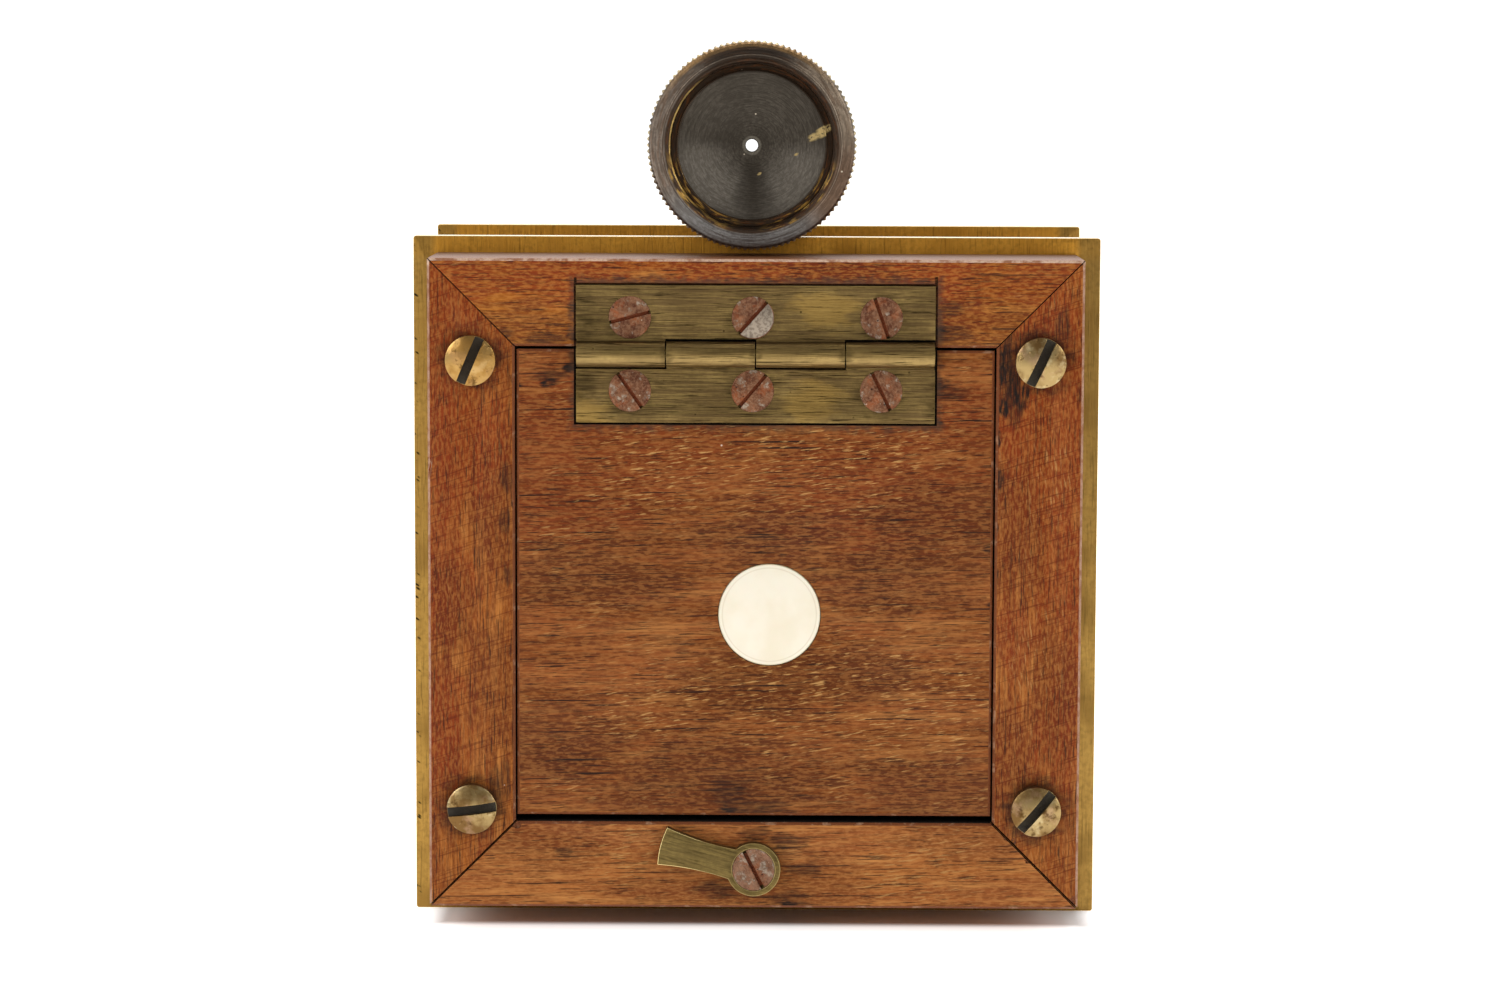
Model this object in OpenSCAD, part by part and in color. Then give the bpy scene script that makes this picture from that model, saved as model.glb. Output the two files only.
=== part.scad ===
// Small wet plate camera: a brass box between two brass plates, a mitred wooden back with a hinged
// door, a brass lens with a push-on cap, a peep finder and a round spirit level.
// X is to the right as seen from the door side, +Y is the way the lens looks, and Z is up.
// The origin is the mouth of the stand socket, in the plane of the plates' lower edges.

/* [Brass body] */
// Width of the front and rear plates
plate_w = 100; // [94:0.5:110]
// Height of the front and rear plates
plate_h = 99.4; // [98:0.2:104]
// Thickness of the front and rear plates
plate_t = 3; // [2.5:0.25:4]
// Corner radius of the plates
plate_corner_r = 0.4; // [0.3:0.1:2]
// Distance between the two plates
body_depth = 39; // [36:1:48]
// Distance from the sides of the box to the side edges of the plates
shell_side_inset = 6; // [4:0.5:7]
// Distance from the top and bottom of the box to the edges of the plates
shell_end_inset = 5.7; // [4.7:0.1:6.7]
// Thickness of the box walls
shell_t = 1.6; // [1.4:0.1:2]
// Radius of the four corner posts
post_r = 3.5; // [3:0.25:4]
// Gap between a corner post and the walls beside it
post_gap = 0.4; // [0.2:0.1:0.6]
// How far the gate in the rear plate is smaller on each side than the opening in the door stop
gate_lip = 3.5; // [3:0.1:8]

/* [Stand socket] */
// Radius of the screw hole for the stand
socket_r = 4; // [3:0.1:5]
// Depth of the screw hole for the stand
socket_depth = 9; // [8:0.5:14]
// Wall round the screw hole
bush_wall = 4; // [3:0.5:5]
// Metal above the blind end of the screw hole
bush_roof = 1.5; // [1:0.1:3]
// Width of the bush's flange beyond its body
bush_lip = 4.2; // [3.8:0.2:6]
// Thickness of the bush's flange
bush_flange_t = 2.4; // [2.2:0.1:3]

/* [Wooden back] */
// Distance from the sides of the wooden back to the side edges of the plates
back_side_inset = 3.5; // [3:0.25:4]
// Distance from the top of the wooden back to the plates' upper edges
back_top_inset = 2.4; // [2:0.1:3]
// Thickness of the wooden back
back_t = 18; // [17:0.5:22]
// Height of the wooden back above the plates' lower edges
back_lift = 4; // [3.5:0.1:4.5]
// Width of the rails and stiles
rail_w = 12.4; // [12:0.1:13]
// Open joint at each mitre
mitre_gap = 0.15; // [0.05:0.05:0.4]
// Chamfer on the wooden edges
wood_edge = 0.35; // [0.1:0.05:0.5]
// How far the door stop stands into the opening
stop_step = 1.1; // [0.8:0.1:1.6]
// Thickness of the velvet on the door stop
velvet_t = 0.3; // [0.2:0.05:0.6]
// Height of the corner rests that carry the glass plate
rest_t = 3; // [2:0.25:4]
// Leg of each triangular corner rest
rest_leg = 8; // [6:0.5:10]

/* [Door] */
// Thickness of the door
door_t = 9; // [8.5:0.25:10]
// Depth of the door's face below the face of the back
door_recess = 0.15; // [0:0.05:0.3]
// Gap at each side of the door
door_side_gap = 0.25; // [0.2:0.05:0.5]
// Gap above the door
door_top_gap = 0.4; // [0.3:0.05:0.6]
// Gap below the door
door_foot_gap = 1; // [0.9:0.05:1.4]
// Radius of the inlaid disc
disc_r = 7.3; // [5:0.1:9]
// Thickness of the inlaid disc
disc_t = 1.6; // [1:0.1:3]
// Inlaid disc's offset to the right of the door's middle
disc_right = 2.1; // [-3:0.1:3]
// Inlaid disc's offset below the middle of the opening
disc_drop = 4.1; // [0:0.1:6]
// Length of the leaf spring inside the door
spring_len = 44; // [36:1:52]
// Width of the leaf spring
spring_w = 9; // [7:0.5:12]
// Thickness of the leaf spring
spring_t = 0.5; // [0.4:0.05:0.8]
// Thickness of the glass plate that the spring presses
glass_plate_t = 2; // [1.6:0.1:2.2]
// How far the spring stands into the place of the glass plate
spring_press = 0.3; // [0:0.1:1]

/* [Hinge] */
// Width of the hinge
hinge_w = 50.8; // [46:0.2:56]
// Reach of each leaf from the pin's axis
leaf_reach = 9.75; // [9:0.05:10.5]
// Thickness of the hinge leaves
leaf_t = 1.1; // [0.9:0.05:1.4]
// Outer radius of the knuckles
knuckle_r = 1.85; // [1.7:0.05:1.95]
// Gap between neighbouring knuckles
knuckle_gap = 0.2; // [0.1:0.05:0.4]
// Radius of the hinge pin
hinge_pin_r = 0.8; // [0.6:0.05:1]
// Pin's axis below the top of the opening
hinge_drop = 1.05; // [0.9:0.05:1.3]
// Pin's axis outside the face of the back
hinge_rise = 0.35; // [0.3:0.05:0.6]
// Outer hinge screws' distance from the middle of the hinge
hinge_screw_x = 17.8; // [14:0.1:19]
// How far the middle hinge screws stand left of the middle
hinge_middle_left = 0.4; // [0:0.1:1]
// Hinge screws' distance from the pin's axis
hinge_screw_z = 5.2; // [5.2:0.05:5.6]

/* [Screws] */
// Head radius of the steel wood screws
steel_head_r = 3; // [2.6:0.05:3]
// Shank radius of the steel wood screws
steel_shank_r = 1.3; // [1:0.05:1.5]
// Length of the steel wood screws
steel_screw_len = 8; // [6.5:0.25:8.2]
// Head radius of the brass screws that hold the wooden back
back_head_r = 3.55; // [3:0.05:4]
// Edge height of those heads
back_head_t = 1.7; // [1.2:0.1:2.5]
// Crown of those heads
back_head_crown = 0.75; // [0.4:0.05:1]
// Shank radius of those screws
back_shank_r = 1.75; // [1.4:0.05:1.85]
// Those screws' distance from the top and bottom of the back
back_screw_end = 14.4; // [14:0.1:16.5]
// How far those screws reach past the rear plate
back_screw_past = 1; // [0.2:0.1:3]
// Head radius of the countersunk plate screws
plate_head_r = 3; // [2.5:0.1:3.2]
// Shank radius of the countersunk plate screws
plate_shank_r = 1.5; // [1.2:0.1:1.8]
// Length of the plate screws
plate_screw_len = 10; // [8:0.5:14]
// Head radius of the small brass screws
small_head_r = 1.6; // [1.4:0.05:1.7]
// Shank radius of the small brass screws
small_shank_r = 0.8; // [0.6:0.05:0.9]

/* [Catch] */
// Height of the catch's pivot above the foot of the back
catch_up = 5.95; // [5.5:0.05:6.3]
// Radius of the catch's boss
catch_boss_r = 3.85; // [3.7:0.05:4.2]
// Reach of the catch's lever
catch_reach = 13.75; // [12.5:0.05:15]
// Width of the lever's tip
catch_tip_w = 5.7; // [5:0.1:6.5]
// Width of the lever's neck
catch_neck_w = 4.2; // [3:0.1:4.6]
// Thickness of the catch
catch_t = 1.6; // [1.2:0.1:2]
// Thickness of the washer under the catch
washer_t = 0.5; // [0.4:0.05:1]
// Angle of the lever above the horizontal, pointing left
catch_angle = 14.5; // [5:0.5:25]

/* [Finder] */
// Finder's offset to the right of the camera's middle
finder_right = -0.7; // [-2:0.1:2]
// Finder's axis above the plates' upper edges
finder_up = 13.45; // [13.4:0.05:16]
// Outer radius of the finder tube
finder_r = 12.6; // [12:0.1:12.8]
// Wall of the finder tube
finder_wall = 1; // [0.8:0.1:1.2]
// Length of the finder tube
finder_len = 22; // [20:0.5:25]
// Finder tube's front end, in front of the rear plate
finder_front = 11; // [10:0.5:13]
// Outer radius of the knurled eye ring
eye_r = 15; // [14.6:0.1:15.4]
// Depth of the knurled eye ring
eye_len = 8; // [7:0.25:9]
// Number of teeth in the knurling
knurl_count = 104; // [60:4:140]
// Depth of the knurling
knurl_depth = 0.35; // [0.2:0.05:0.5]
// Opening of the eye ring's lip
eye_lip_r = 11.6; // [11.3:0.1:11.8]
// Thickness of the eye ring's lip
eye_lip_t = 1.2; // [0.9:0.1:1.6]
// Radius of the dished boss of the eye disc
eye_boss_r = 10.7; // [9:0.1:11.1]
// Thickness of the eye disc's flange
eye_disc_t = 1.2; // [0.8:0.1:1.6]
// Depth of the dish in the eye disc
eye_dish = 0.8; // [0.3:0.1:1.2]
// Radius of the peep hole
peep_r = 0.88; // [0.5:0.02:1.5]
// Side of the square opening in the front mask
mask_w = 15.6; // [12:0.2:15.8]
// Thickness of the front mask
mask_t = 1; // [0.6:0.1:2]
// Width of the finder's post
post_w = 12; // [10:0.5:13]
// Width of the finder post's foot
foot_w = 30; // [28:0.5:34]
// Thickness of the finder post's foot
foot_t = 2; // [1.6:0.1:2.6]

/* [Level] */
// Radius of the round level's flange
level_r = 9; // [8.6:0.1:10]
// Thickness of the round level's flange
level_flange_t = 1.3; // [1.2:0.1:1.6]
// Radius of the round level's cup
level_cup_r = 5.2; // [4.5:0.1:5.3]
// Height of the round level
level_h = 3.9; // [3.4:0.1:5]
// Wall of the level's cup
level_wall = 0.9; // [0.6:0.1:1.2]
// Level's offset to the left of the camera's middle
level_left = 27; // [26.5:0.5:29]

/* [Lens] */
// Distance from the glass plate to the lens stop
focus_len = 70; // [68:0.5:76]
// Outer radius of the lens barrel
barrel_r = 15; // [14.5:0.25:16]
// Wall of the lens barrel
barrel_wall = 1.4; // [1:0.1:1.6]
// How far the barrel reaches into the box
barrel_inside = 2; // [1:0.5:4]
// How far the barrel reaches past the lens stop
barrel_past = 12; // [10.5:0.5:15]
// Outer radius of the lens flange
flange_r = 23; // [21.5:0.25:26]
// Thickness of the lens flange
flange_t = 2.6; // [2:0.1:3.5]
// Radius of the lens glasses
glass_r = 11; // [10:0.25:11.3]
// Edge thickness of the lens glasses
glass_edge_t = 1.8; // [1.4:0.1:2.4]
// Crown of each face of the lens glasses
glass_crown = 0.9; // [0.4:0.1:1.1]
// Length of the lens cells
cell_len = 6.4; // [6:0.1:8]
// Width of the lips and rings that hold the glasses
lip_w = 1; // [0.7:0.1:1.4]
// Radius of the lens stop
stop_r = 3; // [1.5:0.1:5]
// Thickness of the lens stop
stop_t = 0.8; // [0.5:0.1:1.2]
// Length of the lens hood
hood_len = 9; // [8:0.5:12]
// Outer radius of the lens hood
hood_r = 17; // [16.8:0.1:18.5]
// Length of the lens cap's skirt over the hood
cap_skirt = 7; // [5:0.5:8]
// Wall of the lens cap
cap_wall = 0.9; // [0.7:0.1:1.5]
// Thickness of the velvet in the lens cap
cap_velvet_t = 0.6; // [0.4:0.1:1]

/* [Hidden] */
$fn = 96;
// Segments of the large circles whose shallow arcs shape the glasses and the dish
fine_fn = 720;
// Clearance round screws and set pieces
fit = 0.05;
// Clearance between a moving piece and its neighbours
ease = 0.3;
// Clearance at the faces of turning pieces
face_gap = 0.1;
// Overshoot of cutting shapes
over = 1;
// Edge height of a countersunk head
rim_t = 0.2;
// Shares of a screw's head
slot_share = 0.24;
slot_depth_share = 0.3;

brass = "#a8842f";
aged_brass = "#7d6a32";
dark_brass = "#4a4440";
wood = "#a4592f";
door_wood = "#8f4c2b";
bone = "#f6f1e2";
rusty = "#8f5648";
spring_steel = "#7f8286";
velvet = "#20181c";
clear_glass = "#bcd3d6";

half_d = body_depth / 2;
rear_in = -half_d;
rear_y = rear_in - plate_t;
front_y = half_d + plate_t;
plate_mid = plate_h / 2;
shell_w = plate_w - 2 * shell_side_inset;
shell_h = plate_h - 2 * shell_end_inset;
shell_top = plate_mid + shell_h / 2;
shell_foot = plate_mid - shell_h / 2;
post_x = shell_w / 2 - shell_t - post_gap - post_r;
post_z = shell_h / 2 - shell_t - post_gap - post_r;

back_y = rear_y - back_t;
back_w = plate_w - 2 * back_side_inset;
back_h = plate_h - back_lift - back_top_inset;
back_mid = back_lift + back_h / 2;
open_w = back_w - 2 * rail_w;
open_h = back_h - 2 * rail_w;
open_top = back_mid + open_h / 2;
open_foot = back_mid - open_h / 2;
gate_step = stop_step + gate_lip;
back_screw_x = (back_w - rail_w) / 2;
back_screw_z = back_h / 2 - back_screw_end;
door_y = back_y + door_recess;
door_back = door_y + door_t;
stop_y = door_back + ease + velvet_t;
door_half = open_w / 2 - door_side_gap;
door_top = open_top - door_top_gap;
door_foot = open_foot + door_foot_gap;
disc_z = back_mid - disc_drop;
glass_y = rear_y - rest_t;
spring_bow = glass_y - glass_plate_t - door_back - spring_t + spring_press;
spring_curve = (pow(spring_len / 2, 2) + pow(spring_bow, 2)) / (2 * spring_bow);
spring_head_t = 1.1;
spring_screw_deep = 5;

pin_y = back_y - hinge_rise;
pin_z = open_top - hinge_drop;
knuckle_w = hinge_w / 4;
hinge_screws = [-hinge_screw_x, -hinge_middle_left, hinge_screw_x];
frame_slots = [15, 48, 109];
door_slots = [125, 50, 116];
back_slots = [7, 50, 67, 65];
catch_slot = 117;

catch_z = back_lift + catch_up;
washer_y = back_y - washer_t;
catch_y = washer_y - face_gap - catch_t;
neck_x = 6.2;
catch_flare = (catch_tip_w - catch_neck_w) / 2;
catch_side = (pow(catch_reach - neck_x, 2) + pow(catch_flare, 2)) / (2 * catch_flare);

bush_r = socket_r + bush_wall;
bush_seat = shell_foot + shell_t;
bush_screw_r = bush_r + bush_lip / 2;
bush_screw_len = shell_t + bush_flange_t - 0.4;

finder_z = plate_h + finder_up;
tube_front = rear_in + finder_front;
tube_back = tube_front - finder_len;
disc_front = tube_back - face_gap;
disc_seat = disc_front - eye_disc_t;
eye_y = disc_seat - fit - eye_lip_t;
eye_face_r = eye_r - 0.6;
post_depth = finder_front - ease;
foot_screw_x = foot_w / 2 - small_head_r - 1.4;
foot_screw_y = rear_in + ease + post_depth / 2;

level_screw_r = (level_cup_r + level_r) / 2;
level_floor = 0.8;

lens_y = glass_y + focus_len;
barrel_back = half_d - barrel_inside;
barrel_front = lens_y + barrel_past;
bore_r = barrel_r - barrel_wall;
ring_t = 2;
retainer_t = 1.4;
glass_curve = (pow(glass_r, 2) + pow(glass_crown, 2)) / (2 * glass_crown);
lip_sag = glass_curve - sqrt(pow(glass_curve, 2) - pow(glass_r - lip_w, 2));
shoulder_r = glass_r + lip_w;
shoulder_y = lens_y + stop_t / 2;
flange_screw_r = (barrel_r + flange_r) / 2;
flange_screw_len = flange_t + plate_t - 0.4;
hood_lap = 3;
hood_y = barrel_front - hood_lap;
hood_front = hood_y + hood_len;
cap_in = hood_r + face_gap;
cap_bore = cap_in + cap_velvet_t;
cap_floor = hood_front + face_gap;
cap_back = hood_front - cap_skirt;
cap_front = cap_floor + cap_velvet_t + cap_wall;

// Draws a flat shape, given in X and Z, from y upwards along +Y
module slab(y, depth) {
    translate([0, y + depth, 0]) rotate([90, 0, 0]) linear_extrude(depth) children();
}

// Turns a shape drawn along +Z so that it runs along +Y from y
module along(x, y, z) {
    translate([x, y, z]) rotate([-90, 0, 0]) children();
}

// Turns a shape drawn along +Z so that it runs along -Y from y
module against(x, y, z) {
    translate([x, y, z]) rotate([90, 0, 0]) children();
}

module rounded_square(w, h, r) {
    square([w - 2 * r, h], center = true);
    square([w, h - 2 * r], center = true);
    for (x = [-1, 1], z = [-1, 1]) translate([x * (w / 2 - r), z * (h / 2 - r)]) circle(r);
}

// Flat-headed screw along +Z, its face at z = 0
module flush_screw(head_r, shank_r, length, angle) {
    slot = head_r * slot_share;
    cone = rim_t + head_r - shank_r;
    difference() {
        rotate_extrude()
            polygon([[0, 0], [head_r, 0], [head_r, rim_t], [shank_r, cone],
                [shank_r, length - shank_r], [0, length]]);
        rotate([0, 0, -angle])
            translate([-head_r - over, -slot / 2, -over])
                cube([2 * (head_r + over), slot, over + slot_depth_share * head_r]);
    }
}

// Hole that a flat-headed screw fits
module flush_hole(head_r, shank_r, length) {
    cone = rim_t + head_r - shank_r;
    rotate_extrude()
        polygon([[0, -over], [head_r + fit, -over], [head_r + fit, rim_t], [shank_r + fit, cone],
            [shank_r + fit, length + fit], [0, length + fit]]);
}

// Straight hole through y from start to end
module hole(x, z, r, start, end) {
    along(x, start - over, z) cylinder(r = r, h = end - start + 2 * over);
}

module at_posts() {
    for (x = [-1, 1], z = [-1, 1]) translate([x * post_x, 0, plate_mid + z * post_z]) children();
}

module at_back_screws() {
    for (x = [-1, 1], z = [-1, 1])
        translate([x * back_screw_x, 0, back_mid + z * back_screw_z]) children();
}

module at_flange_screws() {
    for (turn = [45 : 90 : 315])
        translate([flange_screw_r * cos(turn), 0, back_mid + flange_screw_r * sin(turn)]) children();
}

module plate_blank(y) {
    slab(y, plate_t) translate([0, plate_mid]) rounded_square(plate_w, plate_h, plate_corner_r);
}

module rear_plate() {
    color(brass) difference() {
        plate_blank(rear_y);
        slab(rear_y - over, plate_t + 2 * over) translate([0, back_mid])
            square([open_w - 2 * gate_step, open_h - 2 * gate_step], center = true);
        at_posts() along(0, rear_y, 0) flush_hole(plate_head_r, plate_shank_r, plate_screw_len);
        at_back_screws() hole(0, 0, back_shank_r + fit, rear_y, rear_in);
    }
}

module front_plate() {
    color(brass) difference() {
        plate_blank(half_d);
        hole(0, back_mid, barrel_r + fit, half_d, front_y);
        at_posts() against(0, front_y, 0) flush_hole(plate_head_r, plate_shank_r, plate_screw_len);
        at_flange_screws() hole(0, 0, small_shank_r + fit, half_d, front_y);
    }
}

module body_shell() {
    color(brass) difference() {
        translate([-shell_w / 2, rear_in, shell_foot]) cube([shell_w, body_depth, shell_h]);
        translate([-shell_w / 2 + shell_t, rear_in - over, shell_foot + shell_t])
            cube([shell_w - 2 * shell_t, body_depth + 2 * over, shell_h - 2 * shell_t]);
        translate([0, 0, shell_foot - over]) cylinder(r = bush_r + fit, h = shell_t + 2 * over);
        at_bush_screws() flush_hole(small_head_r, small_shank_r, bush_screw_len);
        at_foot_screws() flush_hole(small_head_r, small_shank_r, foot_t + shell_t + over);
        at_level_screws() flush_hole(small_head_r, small_shank_r, level_flange_t + shell_t + over);
    }
}

module corner_posts() {
    color(aged_brass) at_posts() difference() {
        along(0, rear_in, 0) cylinder(r = post_r, h = body_depth);
        along(0, rear_y, 0) flush_hole(plate_head_r, plate_shank_r, plate_screw_len);
        against(0, front_y, 0) flush_hole(plate_head_r, plate_shank_r, plate_screw_len);
    }
}

module rear_plate_screws() {
    color(aged_brass) at_posts() along(0, rear_y, 0)
        flush_screw(plate_head_r, plate_shank_r, plate_screw_len, 30);
}

module front_plate_screws() {
    color(aged_brass) at_posts() against(0, front_y, 0)
        flush_screw(plate_head_r, plate_shank_r, plate_screw_len, 50);
}

module at_bush_screws() {
    for (turn = [45 : 90 : 315]) rotate([0, 0, turn])
        translate([bush_screw_r, 0, shell_foot]) children();
}

module stand_bush() {
    color(aged_brass) difference() {
        union() {
            cylinder(r = bush_r, h = max(socket_depth + bush_roof, bush_seat + bush_flange_t));
            translate([0, 0, bush_seat]) cylinder(r = bush_r + bush_lip, h = bush_flange_t);
        }
        translate([0, 0, -over]) cylinder(r = socket_r, h = socket_depth + over);
        at_bush_screws() flush_hole(small_head_r, small_shank_r, bush_screw_len);
    }
}

module bush_screws() {
    color(aged_brass) at_bush_screws() flush_screw(small_head_r, small_shank_r, bush_screw_len, 20);
}

module edge_chamfer(length) {
    rotate([90, 0, 90]) linear_extrude(length + 2 * over, center = true)
        polygon([[-over, -over], [wood_edge + over, -over], [-over, wood_edge + over]]);
}

// One mitred member, drawn as the bottom one about the middle of the back
module member(length, half) {
    inset = mitre_gap / sqrt(2);
    translate([0, 0, -half]) difference() {
        for (layer = [[back_y, stop_y, rail_w], [stop_y, rear_y, rail_w + stop_step]])
            slab(layer[0], layer[1] - layer[0])
                polygon([[inset - length / 2, 0], [length / 2 - inset, 0],
                    [length / 2 - layer[2] - inset, layer[2]],
                    [layer[2] + inset - length / 2, layer[2]]]);
        translate([0, back_y, 0]) edge_chamfer(length);
        translate([0, back_y, rail_w]) mirror([0, 0, 1]) edge_chamfer(length);
    }
}

module mitred_rail(turn) {
    translate([0, 0, back_mid]) rotate([0, turn, 0]) member(back_w, back_h / 2);
}

module mitred_stile(turn) {
    translate([0, 0, back_mid]) rotate([0, turn, 0]) member(back_h, back_w / 2);
}

module stile(turn) {
    difference() {
        mitred_stile(turn);
        at_back_screws() hole(0, 0, back_shank_r + fit, back_y, rear_y);
    }
}

// Room for the knuckles in the wood on both sides of the pin
module knuckle_cove() {
    translate([-hinge_w / 2 - fit, pin_y, pin_z]) rotate([0, 90, 0])
        cylinder(r = knuckle_r + ease, h = hinge_w + 2 * fit);
}

module leaf_pocket(face, side) {
    low = side > 0 ? pin_z : pin_z - leaf_reach - fit;
    translate([-hinge_w / 2 - fit, face - over, low])
        cube([hinge_w + 2 * fit, over + leaf_t, leaf_reach + fit]);
}

module back_rail_top() {
    color(wood) difference() {
        mitred_rail(180);
        knuckle_cove();
        leaf_pocket(back_y, 1);
        for (x = hinge_screws) along(x, back_y, pin_z + hinge_screw_z)
            flush_hole(steel_head_r, steel_shank_r, steel_screw_len);
    }
}

module back_rail_bottom() {
    color(wood) difference() {
        mitred_rail(0);
        along(0, catch_y, catch_z) flush_hole(steel_head_r, steel_shank_r, steel_screw_len);
    }
}

module back_stile_left() {
    color(wood) stile(90);
}

module back_stile_right() {
    color(wood) stile(-90);
}

// Round-topped brass screws through the stiles into the rear plate
module back_screws() {
    dome = (pow(back_head_r, 2) + pow(back_head_crown, 2)) / (2 * back_head_crown);
    slot = back_head_r * 0.38;
    slot_floor = back_head_t - 0.7;
    color(brass) for (i = [0 : 3]) {
        x = i % 2 == 0 ? -1 : 1;
        z = i < 2 ? -1 : 1;
        translate([x * back_screw_x, back_y, back_mid + z * back_screw_z]) difference() {
            union() {
                along(0, 0, 0) cylinder(r = back_shank_r, h = back_t + plate_t + back_screw_past);
                against(0, 0, 0) cylinder(r = back_head_r, h = back_head_t);
                intersection() {
                    against(0, -back_head_t + fit, 0) cylinder(r = back_head_r, h = back_head_crown + fit);
                    translate([0, dome - back_head_t - back_head_crown, 0]) sphere(r = dome);
                }
            }
            against(0, -slot_floor, 0) rotate([0, 0, back_slots[i]])
                translate([-back_head_r - over, -slot / 2, 0])
                    cube([2 * (back_head_r + over), slot, back_head_t + over]);
        }
    }
}

module door_seal() {
    color(velvet) slab(stop_y - velvet_t, velvet_t) translate([0, back_mid]) difference() {
        square([open_w - 2 * fit, open_h - 2 * fit], center = true);
        square([open_w - 2 * stop_step, open_h - 2 * stop_step], center = true);
    }
}

module plate_corner_rests() {
    x_in = open_w / 2 - stop_step - fit;
    z_in = open_h / 2 - stop_step - fit;
    color(clear_glass) slab(glass_y, rest_t) translate([0, back_mid])
        for (x = [-1, 1], z = [-1, 1])
            polygon([[x * x_in, z * z_in], [x * (x_in - rest_leg), z * z_in],
                [x * x_in, z * (z_in - rest_leg)]]);
}

// One leaf with its two knuckles, first is 0 or 1 for the left knuckle and side is up or down
module hinge_leaf(face, side, first) {
    bare = knuckle_r + ease;
    root = bare + over;
    difference() {
        union() {
            slab(face, leaf_t) translate([-hinge_w / 2, pin_z + (side > 0 ? bare : -leaf_reach)])
                square([hinge_w, leaf_reach - bare]);
            for (i = [first, first + 2]) {
                left = -hinge_w / 2 + i * knuckle_w + knuckle_gap / 2;
                translate([left, pin_y, pin_z]) rotate([0, 90, 0])
                    cylinder(r = knuckle_r, h = knuckle_w - knuckle_gap);
                slab(face, leaf_t) translate([left, pin_z - (side > 0 ? 0 : root)])
                    square([knuckle_w - knuckle_gap, root]);
            }
        }
        translate([-hinge_w / 2 - over, pin_y, pin_z]) rotate([0, 90, 0])
            cylinder(r = hinge_pin_r + 0.03, h = hinge_w + 2 * over);
        for (x = hinge_screws) along(x, face, pin_z + side * hinge_screw_z)
            flush_hole(steel_head_r, steel_shank_r, steel_screw_len);
    }
}

module hinge_leaf_frame() {
    color(aged_brass) hinge_leaf(back_y, 1, 0);
}

module hinge_leaf_door() {
    color(aged_brass) hinge_leaf(door_y, -1, 1);
}

module hinge_screw_row(face, side, slots) {
    color(rusty) for (i = [0 : 2]) along(hinge_screws[i], face, pin_z + side * hinge_screw_z)
        flush_screw(steel_head_r, steel_shank_r, steel_screw_len, slots[i]);
}

module hinge_screws_frame() {
    hinge_screw_row(back_y, 1, frame_slots);
}

module hinge_screws_door() {
    hinge_screw_row(door_y, -1, door_slots);
}

module hinge_pin() {
    color(aged_brass) translate([-hinge_w / 2, pin_y, pin_z]) rotate([0, 90, 0])
        cylinder(r = hinge_pin_r, h = hinge_w);
}

module catch_washer() {
    color(aged_brass) difference() {
        along(0, washer_y, catch_z) cylinder(r = catch_boss_r - ease, h = washer_t);
        along(0, catch_y, catch_z) flush_hole(steel_head_r, steel_shank_r, steel_screw_len);
    }
}

module catch_screw() {
    color(rusty) along(0, catch_y, catch_z)
        flush_screw(steel_head_r, steel_shank_r, steel_screw_len, catch_slot);
}

// Paddle that flares from its neck between two arcs to a slightly round tip
module turn_catch() {
    color(aged_brass) difference() {
        slab(catch_y, catch_t) translate([0, catch_z]) rotate(180 - catch_angle) {
            circle(catch_boss_r);
            difference() {
                intersection() {
                    circle(catch_reach);
                    translate([0, -catch_tip_w / 2]) square([catch_reach, catch_tip_w]);
                }
                for (side = [-1, 1])
                    translate([neck_x, side * (catch_neck_w / 2 + catch_side)]) circle(catch_side);
            }
        }
        along(0, catch_y, catch_z) flush_hole(steel_head_r, steel_shank_r, steel_screw_len);
    }
}

module door_panel() {
    width = 2 * door_half;
    height = door_top - door_foot;
    color(door_wood) difference() {
        translate([-door_half, door_y, door_foot]) cube([width, door_t, height]);
        translate([0, door_y, door_foot]) edge_chamfer(width);
        translate([0, door_y, door_top]) mirror([0, 0, 1]) edge_chamfer(width);
        for (side = [-1, 1]) translate([side * door_half, door_y, back_mid])
            rotate([0, -90 * side, 0]) edge_chamfer(height + 2 * over);
        knuckle_cove();
        leaf_pocket(door_y, -1);
        for (x = hinge_screws) along(x, door_y, pin_z - hinge_screw_z)
            flush_hole(steel_head_r, steel_shank_r, steel_screw_len);
        along(disc_right, door_y - over, disc_z) cylinder(r = disc_r + fit, h = over + disc_t);
        spring_screw_hole();
    }
}

module bone_disc() {
    color(bone) along(disc_right, door_y, disc_z) cylinder(r = disc_r, h = disc_t);
}

module spring_screw_hole() {
    hole(0, back_mid, small_shank_r + fit, door_back - spring_screw_deep, door_back + spring_t);
}

module pressure_spring() {
    color(spring_steel) difference() {
        translate([0, door_back + spring_curve, back_mid - spring_w / 2])
            linear_extrude(spring_w) intersection() {
                difference() {
                    circle(spring_curve);
                    circle(spring_curve - spring_t);
                }
                translate([-spring_len / 2, -spring_curve]) square([spring_len, spring_curve]);
            }
        spring_screw_hole();
    }
}

module spring_screw() {
    head_y = door_back + spring_t + face_gap / 2;
    color(aged_brass) difference() {
        union() {
            against(0, head_y, back_mid) cylinder(r = small_shank_r, h = spring_screw_deep + spring_t);
            along(0, head_y, back_mid) cylinder(r = small_head_r, h = spring_head_t);
        }
        translate([0, head_y + spring_head_t, back_mid])
            cube([2 * small_head_r + over, spring_head_t, small_head_r * slot_share], center = true);
    }
}

module lens_flange() {
    color(brass) difference() {
        along(0, front_y, back_mid) cylinder(r = flange_r, h = flange_t);
        hole(0, back_mid, barrel_r + fit, front_y, front_y + flange_t);
        at_flange_screws() against(0, front_y + flange_t, 0)
            flush_hole(small_head_r, small_shank_r, flange_screw_len);
    }
}

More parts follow.
